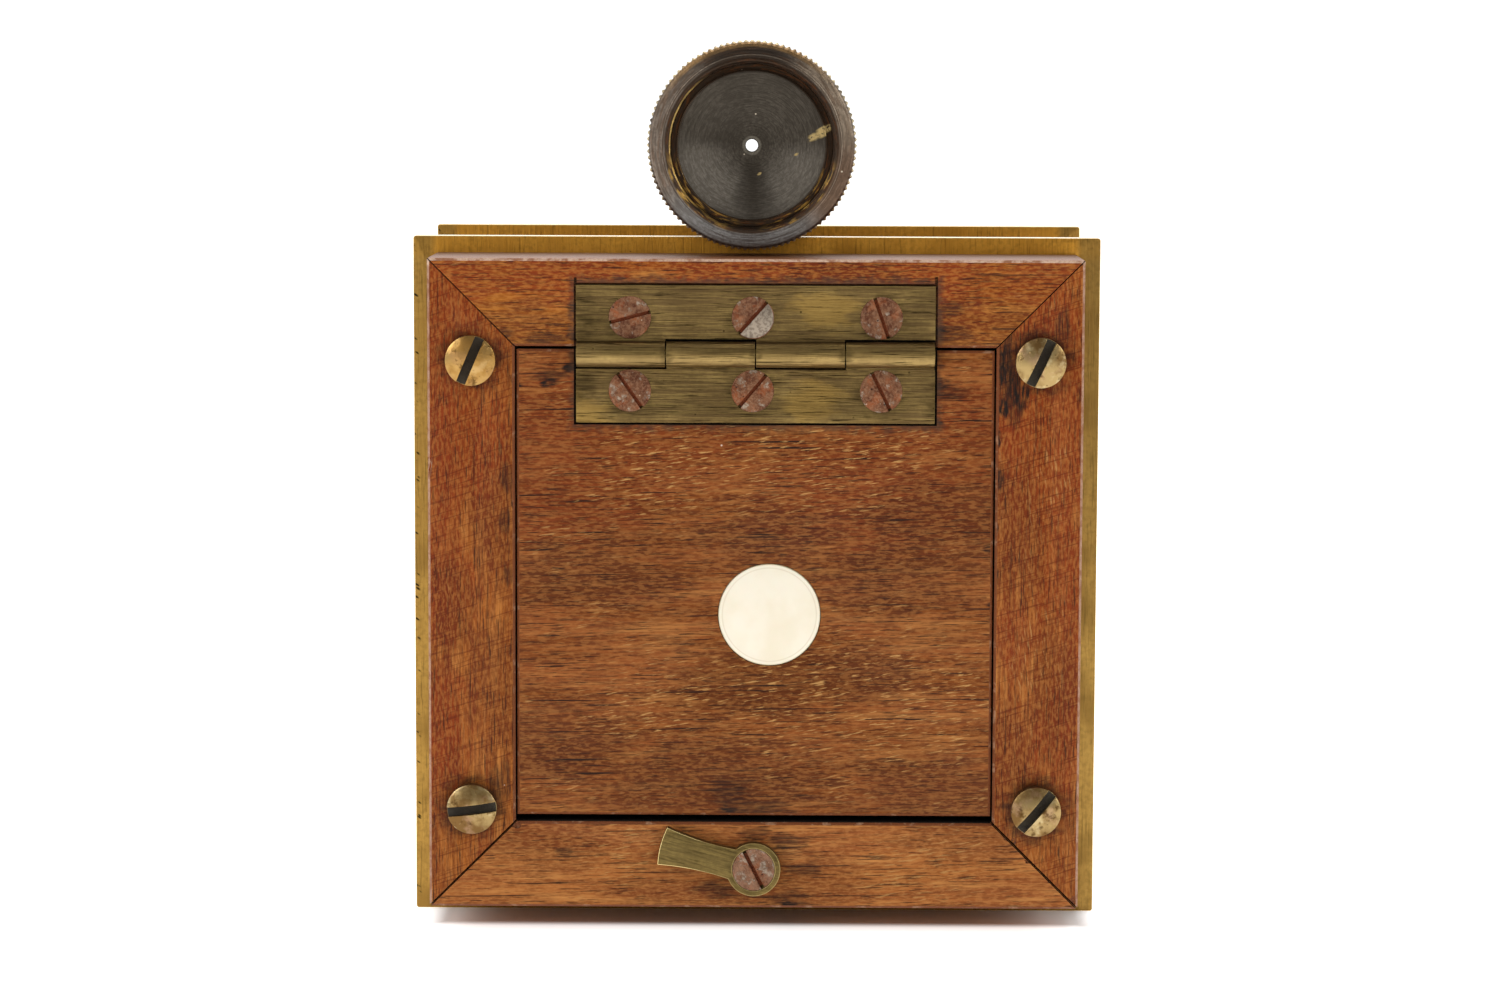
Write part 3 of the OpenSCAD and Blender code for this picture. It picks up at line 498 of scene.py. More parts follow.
@dataclass(frozen=True)
class Brass:
    """Old brass: brushed or filed, dulled by age, with dark specks and hairline scratches.

    Attributes:
        brush: Feature size of the brush marks.
        turn: Their turn in degrees.
        tarnish: Strength of the dull blooms.
        brushing: Strength of the brush marks.
        hairs: Strength of the dark hairlines.
        specks: Share of the dark specks that are drawn.
        depth: Height of the relief in millimetres.
        grime: Dirty spots.
        rubbed: Lighter spots, some rubbed bright and on the hinge one a painted glint.
        tones: Axis, place of no tone, place of full tone, colour and strength of each tone.
        ticks_left_of: X below which small slanting dents show, if there are any.
        dust: Share of the dust that is drawn.
    """

    name: str
    base: str
    dull: str
    speck: str = "#2a2110"
    brush: Triple = (0.16, 0.16, 7.0)
    turn: float = 0.0
    tarnish: float = 0.6
    brushing: float = 0.5
    hairs: float = 0.0
    specks: float = 0.12
    roughness: float = 0.36
    depth: float = 0.015
    seed: float = 0.0
    grime: Spots = ()
    rubbed: Spots = ()
    tones: tuple[tuple[str, float, float, str, float], ...] = ()
    ticks_left_of: float | None = None
    dust: float = 0.0

    def material(self) -> bpy.types.Material:
        """Lays tarnish, brush marks, tones and specks.

        Returns:
            The finished material.
        """
        b, seed = Layers(self.name, self.base), self.seed
        lines = b.mask(self.brush, 0.37, 0.63, turn=self.turn, seed=seed, detail=3)
        bloom = b.mask(7, 0.36, 0.68, seed=seed + 2, detail=5)
        fine = b.mask(0.7, 0.35, 0.7, seed=seed + 4, detail=4)
        speck = b.mask(1.1, 0.2, 0.08, Pattern.DOTS, seed=seed + 6, share=self.specks)
        for mask, strength in ((bloom, self.tarnish), (lines, self.brushing), (fine, 0.35)):
            b.coat(self.dull, mask, strength)
        # Lighter spots: rubbed brass, and on the hinge a painted glint.
        if self.rubbed:
            b.coat("#a08040", b.spots(self.rubbed, 0.8, 1.6), 0.4)
        # Tones along an axis; on the hinge knuckles they are painted reflections.
        for axis, none, full, tone, strength in self.tones:
            tinted = b.blend(tone, self.speck, bloom.most(fine) * 0.3)
            b.coat(tinted, b.along(axis).rise(none, full), strength)
        if self.hairs:
            across, deep, length = self.brush
            hair = b.mask((across * 0.6, deep * 0.6, length), 0.55, 0.66, turn=self.turn, seed=seed + 8, detail=4)
            b.coat(self.speck, hair, self.hairs)
        if self.ticks_left_of is not None:
            tick = b.mask((1.5, 1.5, 0.55), 0.4, 0.2, Pattern.DOTS, turn=-35, seed=seed + 9, share=0.75)
            b.coat(self.speck, tick * b.along("X").rise(self.ticks_left_of, self.ticks_left_of - 0.5))
        if self.grime:
            b.coat(self.speck, b.spots(self.grime, 0.5) * b.mask((2.5, 2.5, 0.7), 0.25, 0.6, seed=seed), 0.6)
        b.coat(self.speck, speck, 0.8)
        if self.dust:
            b.coat("#f0e2c0", b.mask(1.4, 0.16, 0.08, Pattern.DOTS, seed=seed + 11, share=self.dust), 0.8)
        return b.finish(bloom * 0.16 + self.roughness, metallic=1.0, height=lines - speck, depth=self.depth)


@dataclass(frozen=True)
class Sector:
    """One toned part of a turned face, between two radii and round one direction. Sectors give patina and wear, and
    on the eye ring and disc painted reflections and painted shade as well.

    Attributes:
        angle: Direction of its middle in degrees, counter-clockwise from the right.
        spread: Half its width in degrees, 180 for the whole ring.
        broken: Nought for a smooth tone, one for scattered flakes.
        soft: How far its edges fade along the radius.
    """

    colour: str
    angle: float
    spread: float
    inner: float
    outer: float
    strength: float = 1.0
    broken: float = 0.0
    soft: float = 0.4


@dataclass(frozen=True)
class TurnedBrass:
    """Lathe-turned brass, bright or chemically blackened, with fine turning lines round one axis.

    The real lines are some hundredths of a millimetre apart; they are drawn at 0.2 mm to show.

    Attributes:
        axis: X and Z of the lathe's axis.
        line: Width of the turning lines.
        wear: Colour of bare metal in the scuffs.
        sectors: Toned parts of its face: patina, wear, and painted reflections and shade.
        scuffs: Spots worn to bare metal.
        dust: Share of the dust that is drawn.
        blooming: Strength of the dull blooms.
        scored: Strength of the scored arcs.
        depth: Height of the relief in millimetres.
    """

    name: str
    base: str
    dull: str
    axis: Point
    line: float = 0.2
    wear: str = "#9c875a"
    roughness: float = 0.34
    sectors: tuple[Sector, ...] = ()
    scuffs: Spots = ()
    dust: float = 0.0
    blooming: float = 0.55
    scored: float = 0.3
    depth: float = 0.008
    seed: float = 0.0

    def material(self) -> bpy.types.Material:
        """Lays turning lines, tones, scuffs and dust.

        Returns:
            The finished material.
        """
        t, seed = Layers(self.name, self.base), self.seed
        r = t.length(t.spoke(*self.axis))
        rings = Amount(add(t.tree, "ShaderNodeTexNoise", {"W": r / self.line, "Scale": 1.0, "Detail": 2.0},
                           noise_dimensions="1D")).rise(0.3, 0.7)
        lines = t.mask((60, self.line, 60), 0.3, 0.7, seed=seed)
        arcs = self.arcs(t, r, self.line * 1.6, 0.42, 0.6, seed + 8)
        bloom = t.mask(5, 0.35, 0.7, seed=seed + 1, detail=4)
        fine = t.mask(0.45, 0.35, 0.68, seed=seed + 2, detail=3)
        for mask, strength in ((bloom, self.blooming), (rings, 0.35), (arcs, self.scored)):
            t.coat(self.dull, mask, strength)
        for sector in self.sectors:
            t.coat(sector.colour, self.toned(t, sector, r))
        t.coat(self.dull, fine.most(arcs), self.scored)
        if self.scuffs:
            rubs = t.mask(0.5, 0.34, 0.5, seed=seed + 3, detail=5)
            t.coat(self.wear, t.spots(self.scuffs, 0.9, 1.9, 28.0) * rubs)
        if self.dust:
            t.coat("#b8ac98", t.mask(1.1, 0.15, 0.08, Pattern.DOTS, seed=seed + 5, share=self.dust))
        return t.finish(bloom * 0.14 + self.roughness, metallic=1.0, height=rings + (lines + arcs), depth=self.depth)

    def arcs(self, t: Layers, r: Amount, across: float, low: float, high: float, seed: float) -> Amount:
        """Makes a mask of short arcs scored round the axis.

        Args:
            t: Layers of the material.
            r: Radius.
            across: Width of an arc.
            low: Pattern value where the mask is nought.
            high: Pattern value where the mask is one.
            seed: Number that picks another copy of the pattern.

        Returns:
            The mask.
        """
        unit = add(t.tree, "ShaderNodeVectorMath", {0: t.spoke(*self.axis)}, operation="NORMALIZE")
        out = add(t.tree, "ShaderNodeCombineXYZ", {"Y": r / across})
        place = add(t.tree, "ShaderNodeVectorMath", {0: unit, 1: (6, 6, 6), 2: out}, operation="MULTIPLY_ADD")
        return Amount(add(t.tree, "ShaderNodeTexNoise", {"Vector": place, "W": seed, "Scale": 1.0, "Detail": 4.0},
                          noise_dimensions="4D")).rise(low, high)

    def toned(self, t: Layers, sector: Sector, r: Amount) -> Amount:
        """Makes the mask of one sector.

        Args:
            t: Layers of the material.
            sector: The sector.
            r: Radius.

        Returns:
            The mask.
        """
        fade = sector.soft / 2
        mask = (r.rise(sector.inner - fade, sector.inner + fade)
                * r.rise(sector.outer + fade, sector.outer - fade) * sector.strength)
        if sector.spread < 180:
            a = math.radians(sector.angle)
            facing = Amount(add(t.tree, "ShaderNodeVectorMath", {
                0: t.spoke(*self.axis), 1: (math.cos(a), 0, math.sin(a))}, operation="DOT_PRODUCT").outputs["Value"])
            none, full = (math.cos(math.radians(k * sector.spread)) for k in (1.2, 0.4))
            mask = mask * (facing / r.most(0.01)).rise(none, full)
        if sector.broken:
            low, high = 0.34 + 0.17 * sector.broken, 0.48 + 0.14 * sector.broken
            mask = mask * self.arcs(t, r, 0.3, low, high, self.seed + sector.angle / 40)
        return mask


@dataclass(frozen=True)
class RustedSteel:
    """Hand-cut steel screw heads under brown rust, pitted, with bare grey patches.

    The rust is packed in the slots too, so they look brown rather than black.

    Attributes:
        slot_floor: Y of the slots' floor, where rust is packed, if it is.
        bare: How much of the face is bare.
        relief: Height of the relief in millimetres.
        bright_half: X, Z and radius of a head with one half rubbed bright, and that half's turn.
    """

    name: str
    slot_floor: float | None = None
    bare: float = 0.35
    rust: str = "#704a32"
    deep: str = "#4a2614"
    seed: float = 0.0
    relief: float = 0.05
    bright_half: Four | None = None

    def material(self) -> bpy.types.Material:
        """Lays rust, crust, bare patches, flakes and pits.

        Returns:
            The finished material.
        """
        s, seed = Layers(self.name, self.rust), self.seed
        rust = s.mask(1.5, 0.36, 0.64, seed=seed, detail=5)
        orange = s.mask(1.9, 0.5, 0.66, seed=seed + 8, detail=5)
        crust = s.mask(0.36, 0.42, 0.62, seed=seed + 2, detail=3)
        flakes = s.mask(0.6, 0.2, 0.1, Pattern.DOTS, seed=seed + 7, share=0.3)
        bare = s.mask(1.1, 0.66 - self.bare * 0.3, 0.76 - self.bare * 0.3, seed=seed + 4, detail=6)
        pits = s.mask(0.7, 0.26, 0.1, Pattern.DOTS, seed=seed + 6, share=0.4)
        s.coat(self.deep, rust)
        s.coat("#8c4822", orange, 0.55)
        s.coat("#8c684e", crust, 0.4)
        s.coat(s.blend("#a39786", "#6b5a4a", crust), bare, 0.65)
        s.coat("#c9b298", flakes, 0.65)
        s.coat("#241008", pits, 0.85)
        if self.slot_floor is not None:
            s.coat("#6b2f12", s.along("Y").rise(self.slot_floor - 0.45, self.slot_floor - 0.15), 0.85)
        metal, height = bare * 0.4, rust + crust - pits
        if self.bright_half:
            x, z, r, turn = self.bright_half
            bright = s.along("Z", turn, (x, 0, z)).rise(-0.22, -0.34) * s.length(s.spoke(x, z)).rise(r, r - 0.1)
            s.coat(s.blend("#94897a", "#6f655a", crust), bright, 0.9)
            metal, height = metal.most(bright), height * (1 - bright)
        return s.finish(metal * -0.28 + 0.68, metallic=metal, height=height, depth=self.relief,
                        fixed={"Specular IOR Level": 0.15})


@dataclass(frozen=True)
class RubbedBrass:
    """Brass screw heads rubbed bright over mottled tarnish, with dirt packed in their slots.

    Attributes:
        slot_floor: Y of the slots' floor, where dirt is packed, if it is.
        golden: Spots of a warmer colour.
        heads: How far the four heads stand from their middle.
        middle: Height of that middle.
        head_r: Radius within which dirt is packed.
    """

    name: str
    slot_floor: float | None = None
    seed: float = 0.0
    golden: Spots = ()
    heads: Triple = (40.3, 0.0, 32.1)
    middle: float = 50.5
    head_r: float = 3.55

    def material(self) -> bpy.types.Material:
        """Lays mottled tarnish, pits and the dirt in the slots.

        Returns:
            The finished material.
        """
        b, seed = Layers(self.name, "#9c8457"), self.seed
        mottle = b.mask(3.4, 0.4, 0.6, seed=seed, detail=5)
        dark = b.mask(1.4, 0.54, 0.66, seed=seed + 5, detail=6)
        pits = b.mask(0.7, 0.2, 0.08, Pattern.DOTS, seed=seed + 7, share=0.4)
        b.coat("#705430", mottle)
        b.coat("#ab886c", b.mask(2.2, 0.5, 0.64, seed=seed + 3, detail=4), 0.45)
        b.coat("#bdaa80", b.mask(2.6, 0.54, 0.66, seed=seed + 9, detail=4), 0.7)
        if self.golden:
            b.coat("#ad8140", b.spots(self.golden, 0.2), 0.6)
        b.coat("#4a3318", dark, 0.8)
        b.coat("#2f2213", pits, 0.8)
        rough, metal, height = mottle * 0.14 + 0.28, 1.0, mottle + dark - pits
        if self.slot_floor is not None:
            away = add(b.tree, "ShaderNodeVectorMath", {0: b.beyond((0, 0, self.middle), self.heads), 1: (1, 0, 1)},
                       operation="MULTIPLY")
            dirt = (b.along("Y").rise(self.slot_floor - 0.75, self.slot_floor - 0.35)
                    * b.length(away).rise(self.head_r - 0.02, self.head_r - 0.08))
            b.coat("#1c180f", dirt, 0.95)
            rough, metal = rough.most(dirt * 0.8), 1.0 - dirt * 0.85
        return b.finish(rough, metallic=metal, height=height, depth=0.035)


@dataclass(frozen=True)
class Bone:
    """Polished bone: cream white, slightly waxy, with tiny dark pits and a warm rim."""

    name: str
    centre: Point
    radius: float

    def material(self) -> bpy.types.Material:
        """Lays a faint tint, the scribed line, the rim and the pits.

        Returns:
            The finished material.
        """
        b, rim = Layers(self.name, "#dbd3c1"), self.radius
        r = b.length(b.spoke(*self.centre))
        pits = b.mask(1.1, 0.12, 0.06, Pattern.DOTS, share=0.2)
        b.coat("#d2c7ae", b.mask(6, 0.35, 0.7, detail=3), 0.7)
        b.coat("#a48c62", r.rise(rim - 0.75, rim - 0.6) * r.rise(rim - 0.45, rim - 0.6), 0.3)
        b.coat("#a8905e", r.rise(rim - 0.25, rim), 0.8)
        b.coat("#7d6854", pits, 0.8)
        return b.finish(0.3, height=0.0 - pits, depth=0.03, fixed={
            "Subsurface Weight": 0.12, "Subsurface Scale": 0.002, "Coat Weight": 0.2, "Coat Roughness": 0.2})


@dataclass(frozen=True)
class Velvet:
    """Short cotton velvet, almost black, whose pile catches light at its edge."""

    name: str

    def material(self) -> bpy.types.Material:
        """Lays the pile and the nap.

        Returns:
            The finished material.
        """
        v = Layers(self.name, "#120d10")
        pile = v.mask(0.25, 0.3, 0.7, detail=3)
        v.coat("#2c2126", pile, 0.7)
        v.coat("#30242a", v.mask(4, 0.35, 0.7), 0.4)
        return v.finish(0.9, height=pile, depth=0.12, fixed={
            "Sheen Weight": 0.5, "Sheen Roughness": 0.4, "Sheen Tint": linear("#6a5560")})


@dataclass(frozen=True)
class Glass:
    """Ground and polished crown glass, or cemented glass blocks with a slight green cast."""

    name: str
    tint: str = "#eef6f2"
    ground: float = 0.0

    def material(self) -> bpy.types.Material:
        """Lays a faint haze.

        Returns:
            The finished material.
        """
        g = Layers(self.name, self.tint)
        return g.finish(g.mask(3, 0.4, 0.75, detail=3) * 0.04 + (0.02 + self.ground),
                        fixed={"Transmission Weight": 1.0, "IOR": 1.52})


@dataclass(frozen=True)
class BluedSteel:
    """Tempered spring strip, blued, with brown rust starting in spots."""

    name: str

    def material(self) -> bpy.types.Material:
        """Lays the blue and the rust over rolling lines.

        Returns:
            The finished material.
        """
        s = Layers(self.name, "#5d6470")
        rolled = s.mask((7, 0.2, 0.2), 0.3, 0.7)
        rust = s.mask(1.6, 0.6, 0.72, detail=5)
        s.coat("#3b4252", s.mask((9, 3, 3), 0.3, 0.7, detail=3))
        s.coat("#7d5440", rust)
        return s.finish(rust * 0.4 + 0.28, metallic=1.0 - rust * 0.8, height=rolled, depth=0.01)


class Finish(Enum):
    """All finishes of the camera, each built once when it is first asked for."""

    # Filed plates under lacquer: gold with upright file marks, an orange band under the top edge,
    # browner sides and small dents along the left edge.
    PLATE = Brass(
        "lacquered_filed_brass", "#bc954e", "#83612a", brush=(0.4, 0.4, 5), tarnish=0.5, roughness=0.34, depth=0.014,
        hairs=0.35, specks=0.2, dust=0.1, ticks_left_of=-49.0,
        tones=(("Z", 95.5, 97.5, "#d89733", 0.75), ("X", -46.2, -47.8, "#a17c3c", 0.8),
               ("X", 46.0, 47.5, "#92723a", 0.8)))
    # The same on the far side, kept cleaner.
    PLATE_FACE = Brass("lacquered_filed_brass_face", "#bc954e", "#8a682e", brush=(0.4, 0.4, 5), tarnish=0.3,
                       roughness=0.32, depth=0.014, brushing=0.4, hairs=0.2, specks=0.15, seed=19)
    # Lacquer worn off: pale bright lines along the edges.
    PLATE_EDGE = Brass("brass_worn_bright_at_edges", "#f4dda4", "#cda964", tarnish=0.3, specks=0.02, seed=5)
    # Filed smooth: the top edge shines almost white.
    PLATE_TOP = Brass("brass_filed_smooth_top", "#fdf0cf", "#e8d09c", tarnish=0.3, specks=0.02, brushing=0.2,
                      roughness=0.16, depth=0.006, seed=15)
    # Rolled sheet brushed along its length: soft level lines.
    SHEET = Brass("lacquered_sheet_brass", "#ab8640", "#7a5e26", brush=(9, 9, 0.2), tarnish=0.35, seed=9)
    # Turned and lacquered: bright gold with fine rings.
    LENS = TurnedBrass("turned_lens_brass", "#c29c50", "#8f6d2e", LENS_AXIS, roughness=0.26, blooming=0.35)
    # Turned and handled more: a shade duller.
    CAP = TurnedBrass("turned_cap_brass", "#b99249", "#84642a", LENS_AXIS, roughness=0.3, blooming=0.35, seed=7)
    # Brushed, never lacquered: olive brown, darker round the screws, with a painted glint at its lower left corner.
    OLIVE = Brass(
        "olive_brushed_hinge_brass", "#7e693e", "#55432a", brush=(7, 9, 0.18), tarnish=0.35, brushing=0.85, hairs=0.9,
        specks=0.35, roughness=0.42, depth=0.03, seed=3,
        grime=((-17.8, 88.75, 3.7), (-0.4, 88.75, 3.6), (17.8, 88.75, 3.7), (-17.8, 78.35, 3.7), (-0.4, 79.4, 4.4),
               (17.8, 78.35, 3.8), (-27, 88, 4.5), (26.5, 77, 3.0), (-24.5, 78.5, 2.2), (-4.5, 82.0, 1.8)),
        rubbed=((-26.5, 72.6, 4.2), (8, 77, 2.5), (10, 90, 2.5)))
    # Rubbed by hands: lighter and glossier, dark where the knuckles meet. Its upper half is painted darker and a band
    # under the pin paler, as painted reflections of the dim space above and of the white table.
    KNUCKLE = Brass(
        "olive_hinge_knuckle_brass", "#8f7847", "#665232", brush=(9, 0.5, 0.24), tarnish=0.35, brushing=0.7,
        hairs=0.8, specks=0.2, roughness=0.3, depth=0.03, seed=13,
        tones=(("Z", 83.5, 85.0, "#55432a", 0.4), ("Z", 83.6, 82.8, "#b89c66", 0.4)),
        grime=((-12.7, 83.5, 1.2), (12.7, 83.5, 1.2), (0, 83.5, 1.0)))
    # Worn arrises of the leaves: thin paler lines.
    OLIVE_EDGE = Brass("hinge_brass_worn_edge", "#b49a58", "#7c6836", brush=(9, 9, 0.27), hairs=0.4, seed=4)
    # Brushed along the paddle: olive brown like the hinge.
    CATCH = Brass("olive_catch_brass", "#816e40", "#54462a", brush=(5, 5, 0.28), turn=-14.5, tarnish=0.4, hairs=0.4,
                  specks=0.2, roughness=0.42, depth=0.03, seed=6, grime=((0, 9.95, 3.6),))
    # Worn by the thumb: a pale gold line round the paddle.
    CATCH_EDGE = Brass("catch_brass_worn_gold_edge", "#f0dc9c", "#c0a45c", tarnish=0.2, specks=0.01, brushing=0.3,
                       roughness=0.3, seed=8, tones=(("X", -10.0, -6.0, "#8a7645", 0.75),))
    # Cast and filed: dull olive.
    POST = Brass("cast_post_brass", "#86713f", "#594824", brush=(0.3, 0.3, 5), seed=12)
    # Turned, then blackened: dark brown with a soft sheen.
    BLACK = TurnedBrass("blackened_turned_brass", "#4c443c", "#352e28", EYE_AXIS, roughness=0.42, seed=2)
    # Knurled and blackened: brown-grey, with golden flakes round the inner edge and a pale outer one. Its face
    # carries painted reflections and shade, and a dark ring of painted shade in the groove by the disc.
    EYE_RING = TurnedBrass(
        "blackened_knurled_brass", "#71675d", "#413830", EYE_AXIS, roughness=0.38, dust=0.2, depth=0.015, seed=4,
        line=0.26, scored=0.45,
        # Painted reflections and shade of the turned face, pale at the left, upper right and bottom and dark at the
        # top, with patches of brown patina among them.
        sectors=(Sector("#8c7d70", 165, 46, 12.6, 14.6, 0.35), Sector("#a3917c", 30, 34, 12.6, 14.6, 0.6),
                 Sector("#2a211b", 93, 30, 12.2, 14.0, 0.8), Sector("#5c3f2a", 60, 60, 12.6, 14.4, 0.45, 0.8),
                 Sector("#5c3f2a", 160, 70, 12.6, 14.6, 0.4, 0.8), Sector("#97754a", 95, 52, 14.0, 15.2, 0.85),
                 Sector("#6a4b34", 335, 28, 12.3, 15.0, 0.5), Sector("#7c7c7b", 262, 50, 12.6, 14.9, 0.8),
                 Sector("#2a2019", 0, 180, 12.7, 12.78, 0.75, soft=0.1),
                 Sector("#2a2019", 60, 110, 12.98, 13.05, 0.6, soft=0.1),
                 Sector("#a59786", 60, 120, 12.8, 12.95, 0.4, soft=0.1),
                 # Painted shade in the groove next to the disc; the flakes and the gold line after it are wear.
                 Sector("#2b1c10", 0, 180, 11.0, 12.45, 0.85, soft=0.25),
                 Sector("#5c3418", 0, 180, 11.7, 12.4, 0.5, 0.9),
                 Sector("#e0bb70", 178, 50, 11.2, 11.85, 1.0, 0.2, soft=0.12),
                 Sector("#a88442", 222, 34, 11.5, 12.5, 0.9, 0.9), Sector("#a88442", 312, 34, 11.5, 12.4, 0.9, 0.9),
                 Sector("#dccaa2", 0, 180, 14.72, 16.0, 0.9, 0.2, soft=0.16)))
    # Dished and blackened: darker, with a few scuffs down to the brass; painted reflections and shade make it look
    # lit like a bowl, with painted shade in the groove round its raised part.
    EYE_DISC = TurnedBrass(
        "blackened_dished_brass", "#4c463e", "#2e2923", EYE_AXIS, roughness=0.4, dust=0.5, depth=0.012, seed=6,
        scored=0.4,
        scuffs=((9.5, 115.0, 0.62), (8.9, 114.6, 0.42), (8.1, 114.2, 0.42), (5.6, 111.6, 0.18), (0.4, 108.8, 0.16)),
        # Painted reflections and shade of the dish: paler at the lower left and lower right, darker at the bottom.
        sectors=(Sector("#7b746a", 222, 46, 4.5, 10.9, 0.6, soft=5.0),
                 Sector("#7b746a", 318, 42, 4.5, 10.9, 0.55, soft=5.0),
                 Sector("#241f19", 272, 26, 2.0, 9.0, 0.5, soft=4.0),
                 Sector("#4e4840", 95, 80, 4.0, 10.6, 0.4, soft=4.0),
                 # Painted shade in the groove by the eye ring.
                 Sector("#2b1c10", 0, 180, 10.55, 11.7, 0.9, soft=0.2),
                 Sector("#5c3418", 0, 180, 10.8, 11.6, 0.5, 1.0), Sector("#a47c38", 225, 34, 10.7, 11.6, 0.8, 1.0),
                 Sector("#a47c38", 310, 34, 10.7, 11.6, 0.8, 1.0),
                 Sector("#6d675c", 0, 180, 1.0, 1.35, 0.7, soft=0.25)))
    # Polished by the driver over brown tarnish: mottled gold with black slots, the left upper one warmer.
    SCREW_BRASS = RubbedBrass("rubbed_brass_screw", -41.5, golden=((-40.3, 82.6, 6.0),))
    # Sunk in the plates: the same mottle without the dirt.
    FLUSH_BRASS = RubbedBrass("brass_plate_screw", seed=3.0)
    # Rusted through: brown and scaly, one head with a bare grey half.
    RUST = RustedSteel("rusted_steel_screw", -39.9, bright_half=(-0.4, 88.75, 2.95, 48.0))
    # Rubbed rims: mostly bare grey steel.
    STEEL_RIM = RustedSteel("worn_steel_rim", bare=1.2, seed=5)
    # Rusted and pitted deeper: pinker, rougher brown.
    CATCH_RUST = RustedSteel("pitted_rusted_steel_screw", -42.1, bare=0.5, rust="#85614b", deep="#5c3a27", seed=21,
                             relief=0.08)
    # Each board is cut from its own plank, so grain, colour and stains differ from board to board.
    RAIL_TOP = Wood(
        "mahogany_rail_top", Along.X, deep="#4e1a00", dark="#783a04", middle="#905314", light="#b07432", seed=2.0,
        seams=(HINGE_PLATE,), flecks=0.4, streaks=0.6,
        stains=((-36, 86.2, 0.8), (-30, 85.4, 1.2), (27, 86.5, 1.3), (27.5, 90, 0.8)),
        blacks=((-25.9, 90, 0.5), (-26, 86, 0.5), (25.9, 87, 0.6)),
        reds=((0, 96, 9), (18, 95, 8), (-44, 96, 6), (-28, 96, 6), (44, 96, 5)),
        shades=((-33, 87, 3.5), (33, 86.5, 4), (10, 94.5, 3)))
    RAIL_BOTTOM = Wood(
        "mahogany_rail_bottom", Along.X, deep="#5f2e0e", dark="#834820", middle="#985b2a", light="#b2783f",
        red="#7a3c1a", seed=7.0, flecks=0.6, streaks=0.75, slant=1.0,
        stains=((4.6, 13.6, 1.2), (7, 9.5, 1.0), (-6, 6.5, 1.2), (5, 4.8, 1.3), (-27, 12, 0.5), (0, 14.6, 0.9)),
        blacks=((3.9, 12.9, 0.5), (4.9, 4.6, 0.6)), fleck_zones=((-18, 12, 5), (24, 10, 6)),
        shades=((-30, 13.5, 4), (6, 8, 4), (30, 14, 3.5), (-10, 5, 4)))
    STILE_LEFT = Wood(
        "mahogany_stile_left", Along.Z, deep="#501a00", dark="#75360a", middle="#8b4d18", light="#a96d32", seed=11.0,
        flecks=0.35, saw=0.5, streaks=0.45, halos=((-40.3, 82.6, 4.5), (-40.3, 18.4, 4.7)),
        stains=((-35.2, 66, 0.9), (-35.6, 60, 0.8), (-35.0, 52, 0.7), (-36.2, 22, 1.2)),
        blacks=((-34.3, 80, 0.4), (-34.3, 73, 0.35), (-34.3, 62, 0.35)),
        reds=((-43.5, 86, 8), (-44.5, 70, 7), (-38, 70, 4), (-45, 52, 5), (-45, 30, 5)),
        shades=((-36, 60, 4), (-37, 36, 3.5), (-43, 47, 3)))
    STILE_RIGHT = Wood(
        "mahogany_stile_right", Along.Z, deep="#551d00", dark="#7a3b0e", middle="#8d4f1c", light="#ab7034", seed=17.0,
        flecks=0.5, saw=0.6, streaks=0.4, halos=((40.3, 82.6, 4.7), (40.3, 18.4, 4.8)),
        stains=((35.6, 79.5, 1.5), (36.8, 76.5, 1.2), (35.2, 84, 1.2), (43.5, 88, 0.9), (34.8, 66, 0.8)),
        blacks=((35.2, 83.0, 0.9), (35.4, 80.6, 1.1), (36.4, 78.3, 1.2), (37.6, 77.6, 0.9), (35.1, 76.2, 0.8),
                (34.4, 72, 0.5), (34.4, 66, 0.5), (34.3, 59, 0.4)),
        reds=((42, 70, 8), (40, 88, 6), (45.5, 52, 6), (45, 30, 5), (36.5, 44, 3)),
        shades=((37, 58, 3.5), (43, 36, 3.5), (36, 26, 3)), fleck_zones=((42, 66, 4), (40, 40, 4)))
    DOOR = Wood(
        "mahogany_door", Along.X, deep="#3c1500", dark="#6b360c", middle="#7f451c", light="#9c6532", red="#6a2c0a",
        streaks=1.0, flecks=0.85, seams=(HINGE_PLATE,), slant=1.2, seed=23.0,
        fleck_zones=((2, 71, 8), (14, 69, 8), (-12, 68, 7), (8, 36, 10), (24, 33, 9), (-14, 34, 6)),
        stains=((-3.5, 21.5, 1.5), (-3, 19, 1.3), (-29, 80.5, 1.0), (27.0, 78, 1.1), (3, 17.8, 1.3)),
        blacks=((-29.4, 79.4, 0.6), (-26.2, 81.5, 0.5), (26.1, 79.5, 0.6), (-4, 18.4, 0.6), (26, 74, 0.4),
                (33.6, 56, 0.4), (33.6, 48, 0.35), (-33.5, 79, 0.4)),
        reds=((-20, 72, 10), (16, 64, 9), (28, 74, 5), (-28, 62, 6)),
        shades=((0, 36, 5), (12, 38, 4), (-24, 52, 5), (18, 52, 5), (-6, 23, 6), (27, 21, 5), (-28, 27, 5),
                (28, 60, 5), (2, 58, 4)))
    # Varnish rubbed off the outer arrises: dusty pale wood, most of it along the top, where the fuller pale is a
    # painted highlight.
    ARRIS = WornWood("mahogany_rubbed_arris_and_painted_top_highlight", "#84573c", "#b89a84", 0.38, 0.54, most_above=96.2)
    # Inner arrises: darker, with only a few pale rubs.
    DARK_ARRIS = WornWood("mahogany_darker_inner_arris", "#6a3818", "#8d674c", 0.54, 0.66)
    # The top, polished by carrying: its gloss turns pale at a grazing view, and further back it is painted darker as
    # shade.
    ROOF = WornWood("mahogany_polished_top_painted_back_shade", "#7c4a2b", "#96613c", 0.36, 0.64, 0.42, shaded="#5f3a20", shine=0.6,
                    grain=(9, 0.7, 0.7))
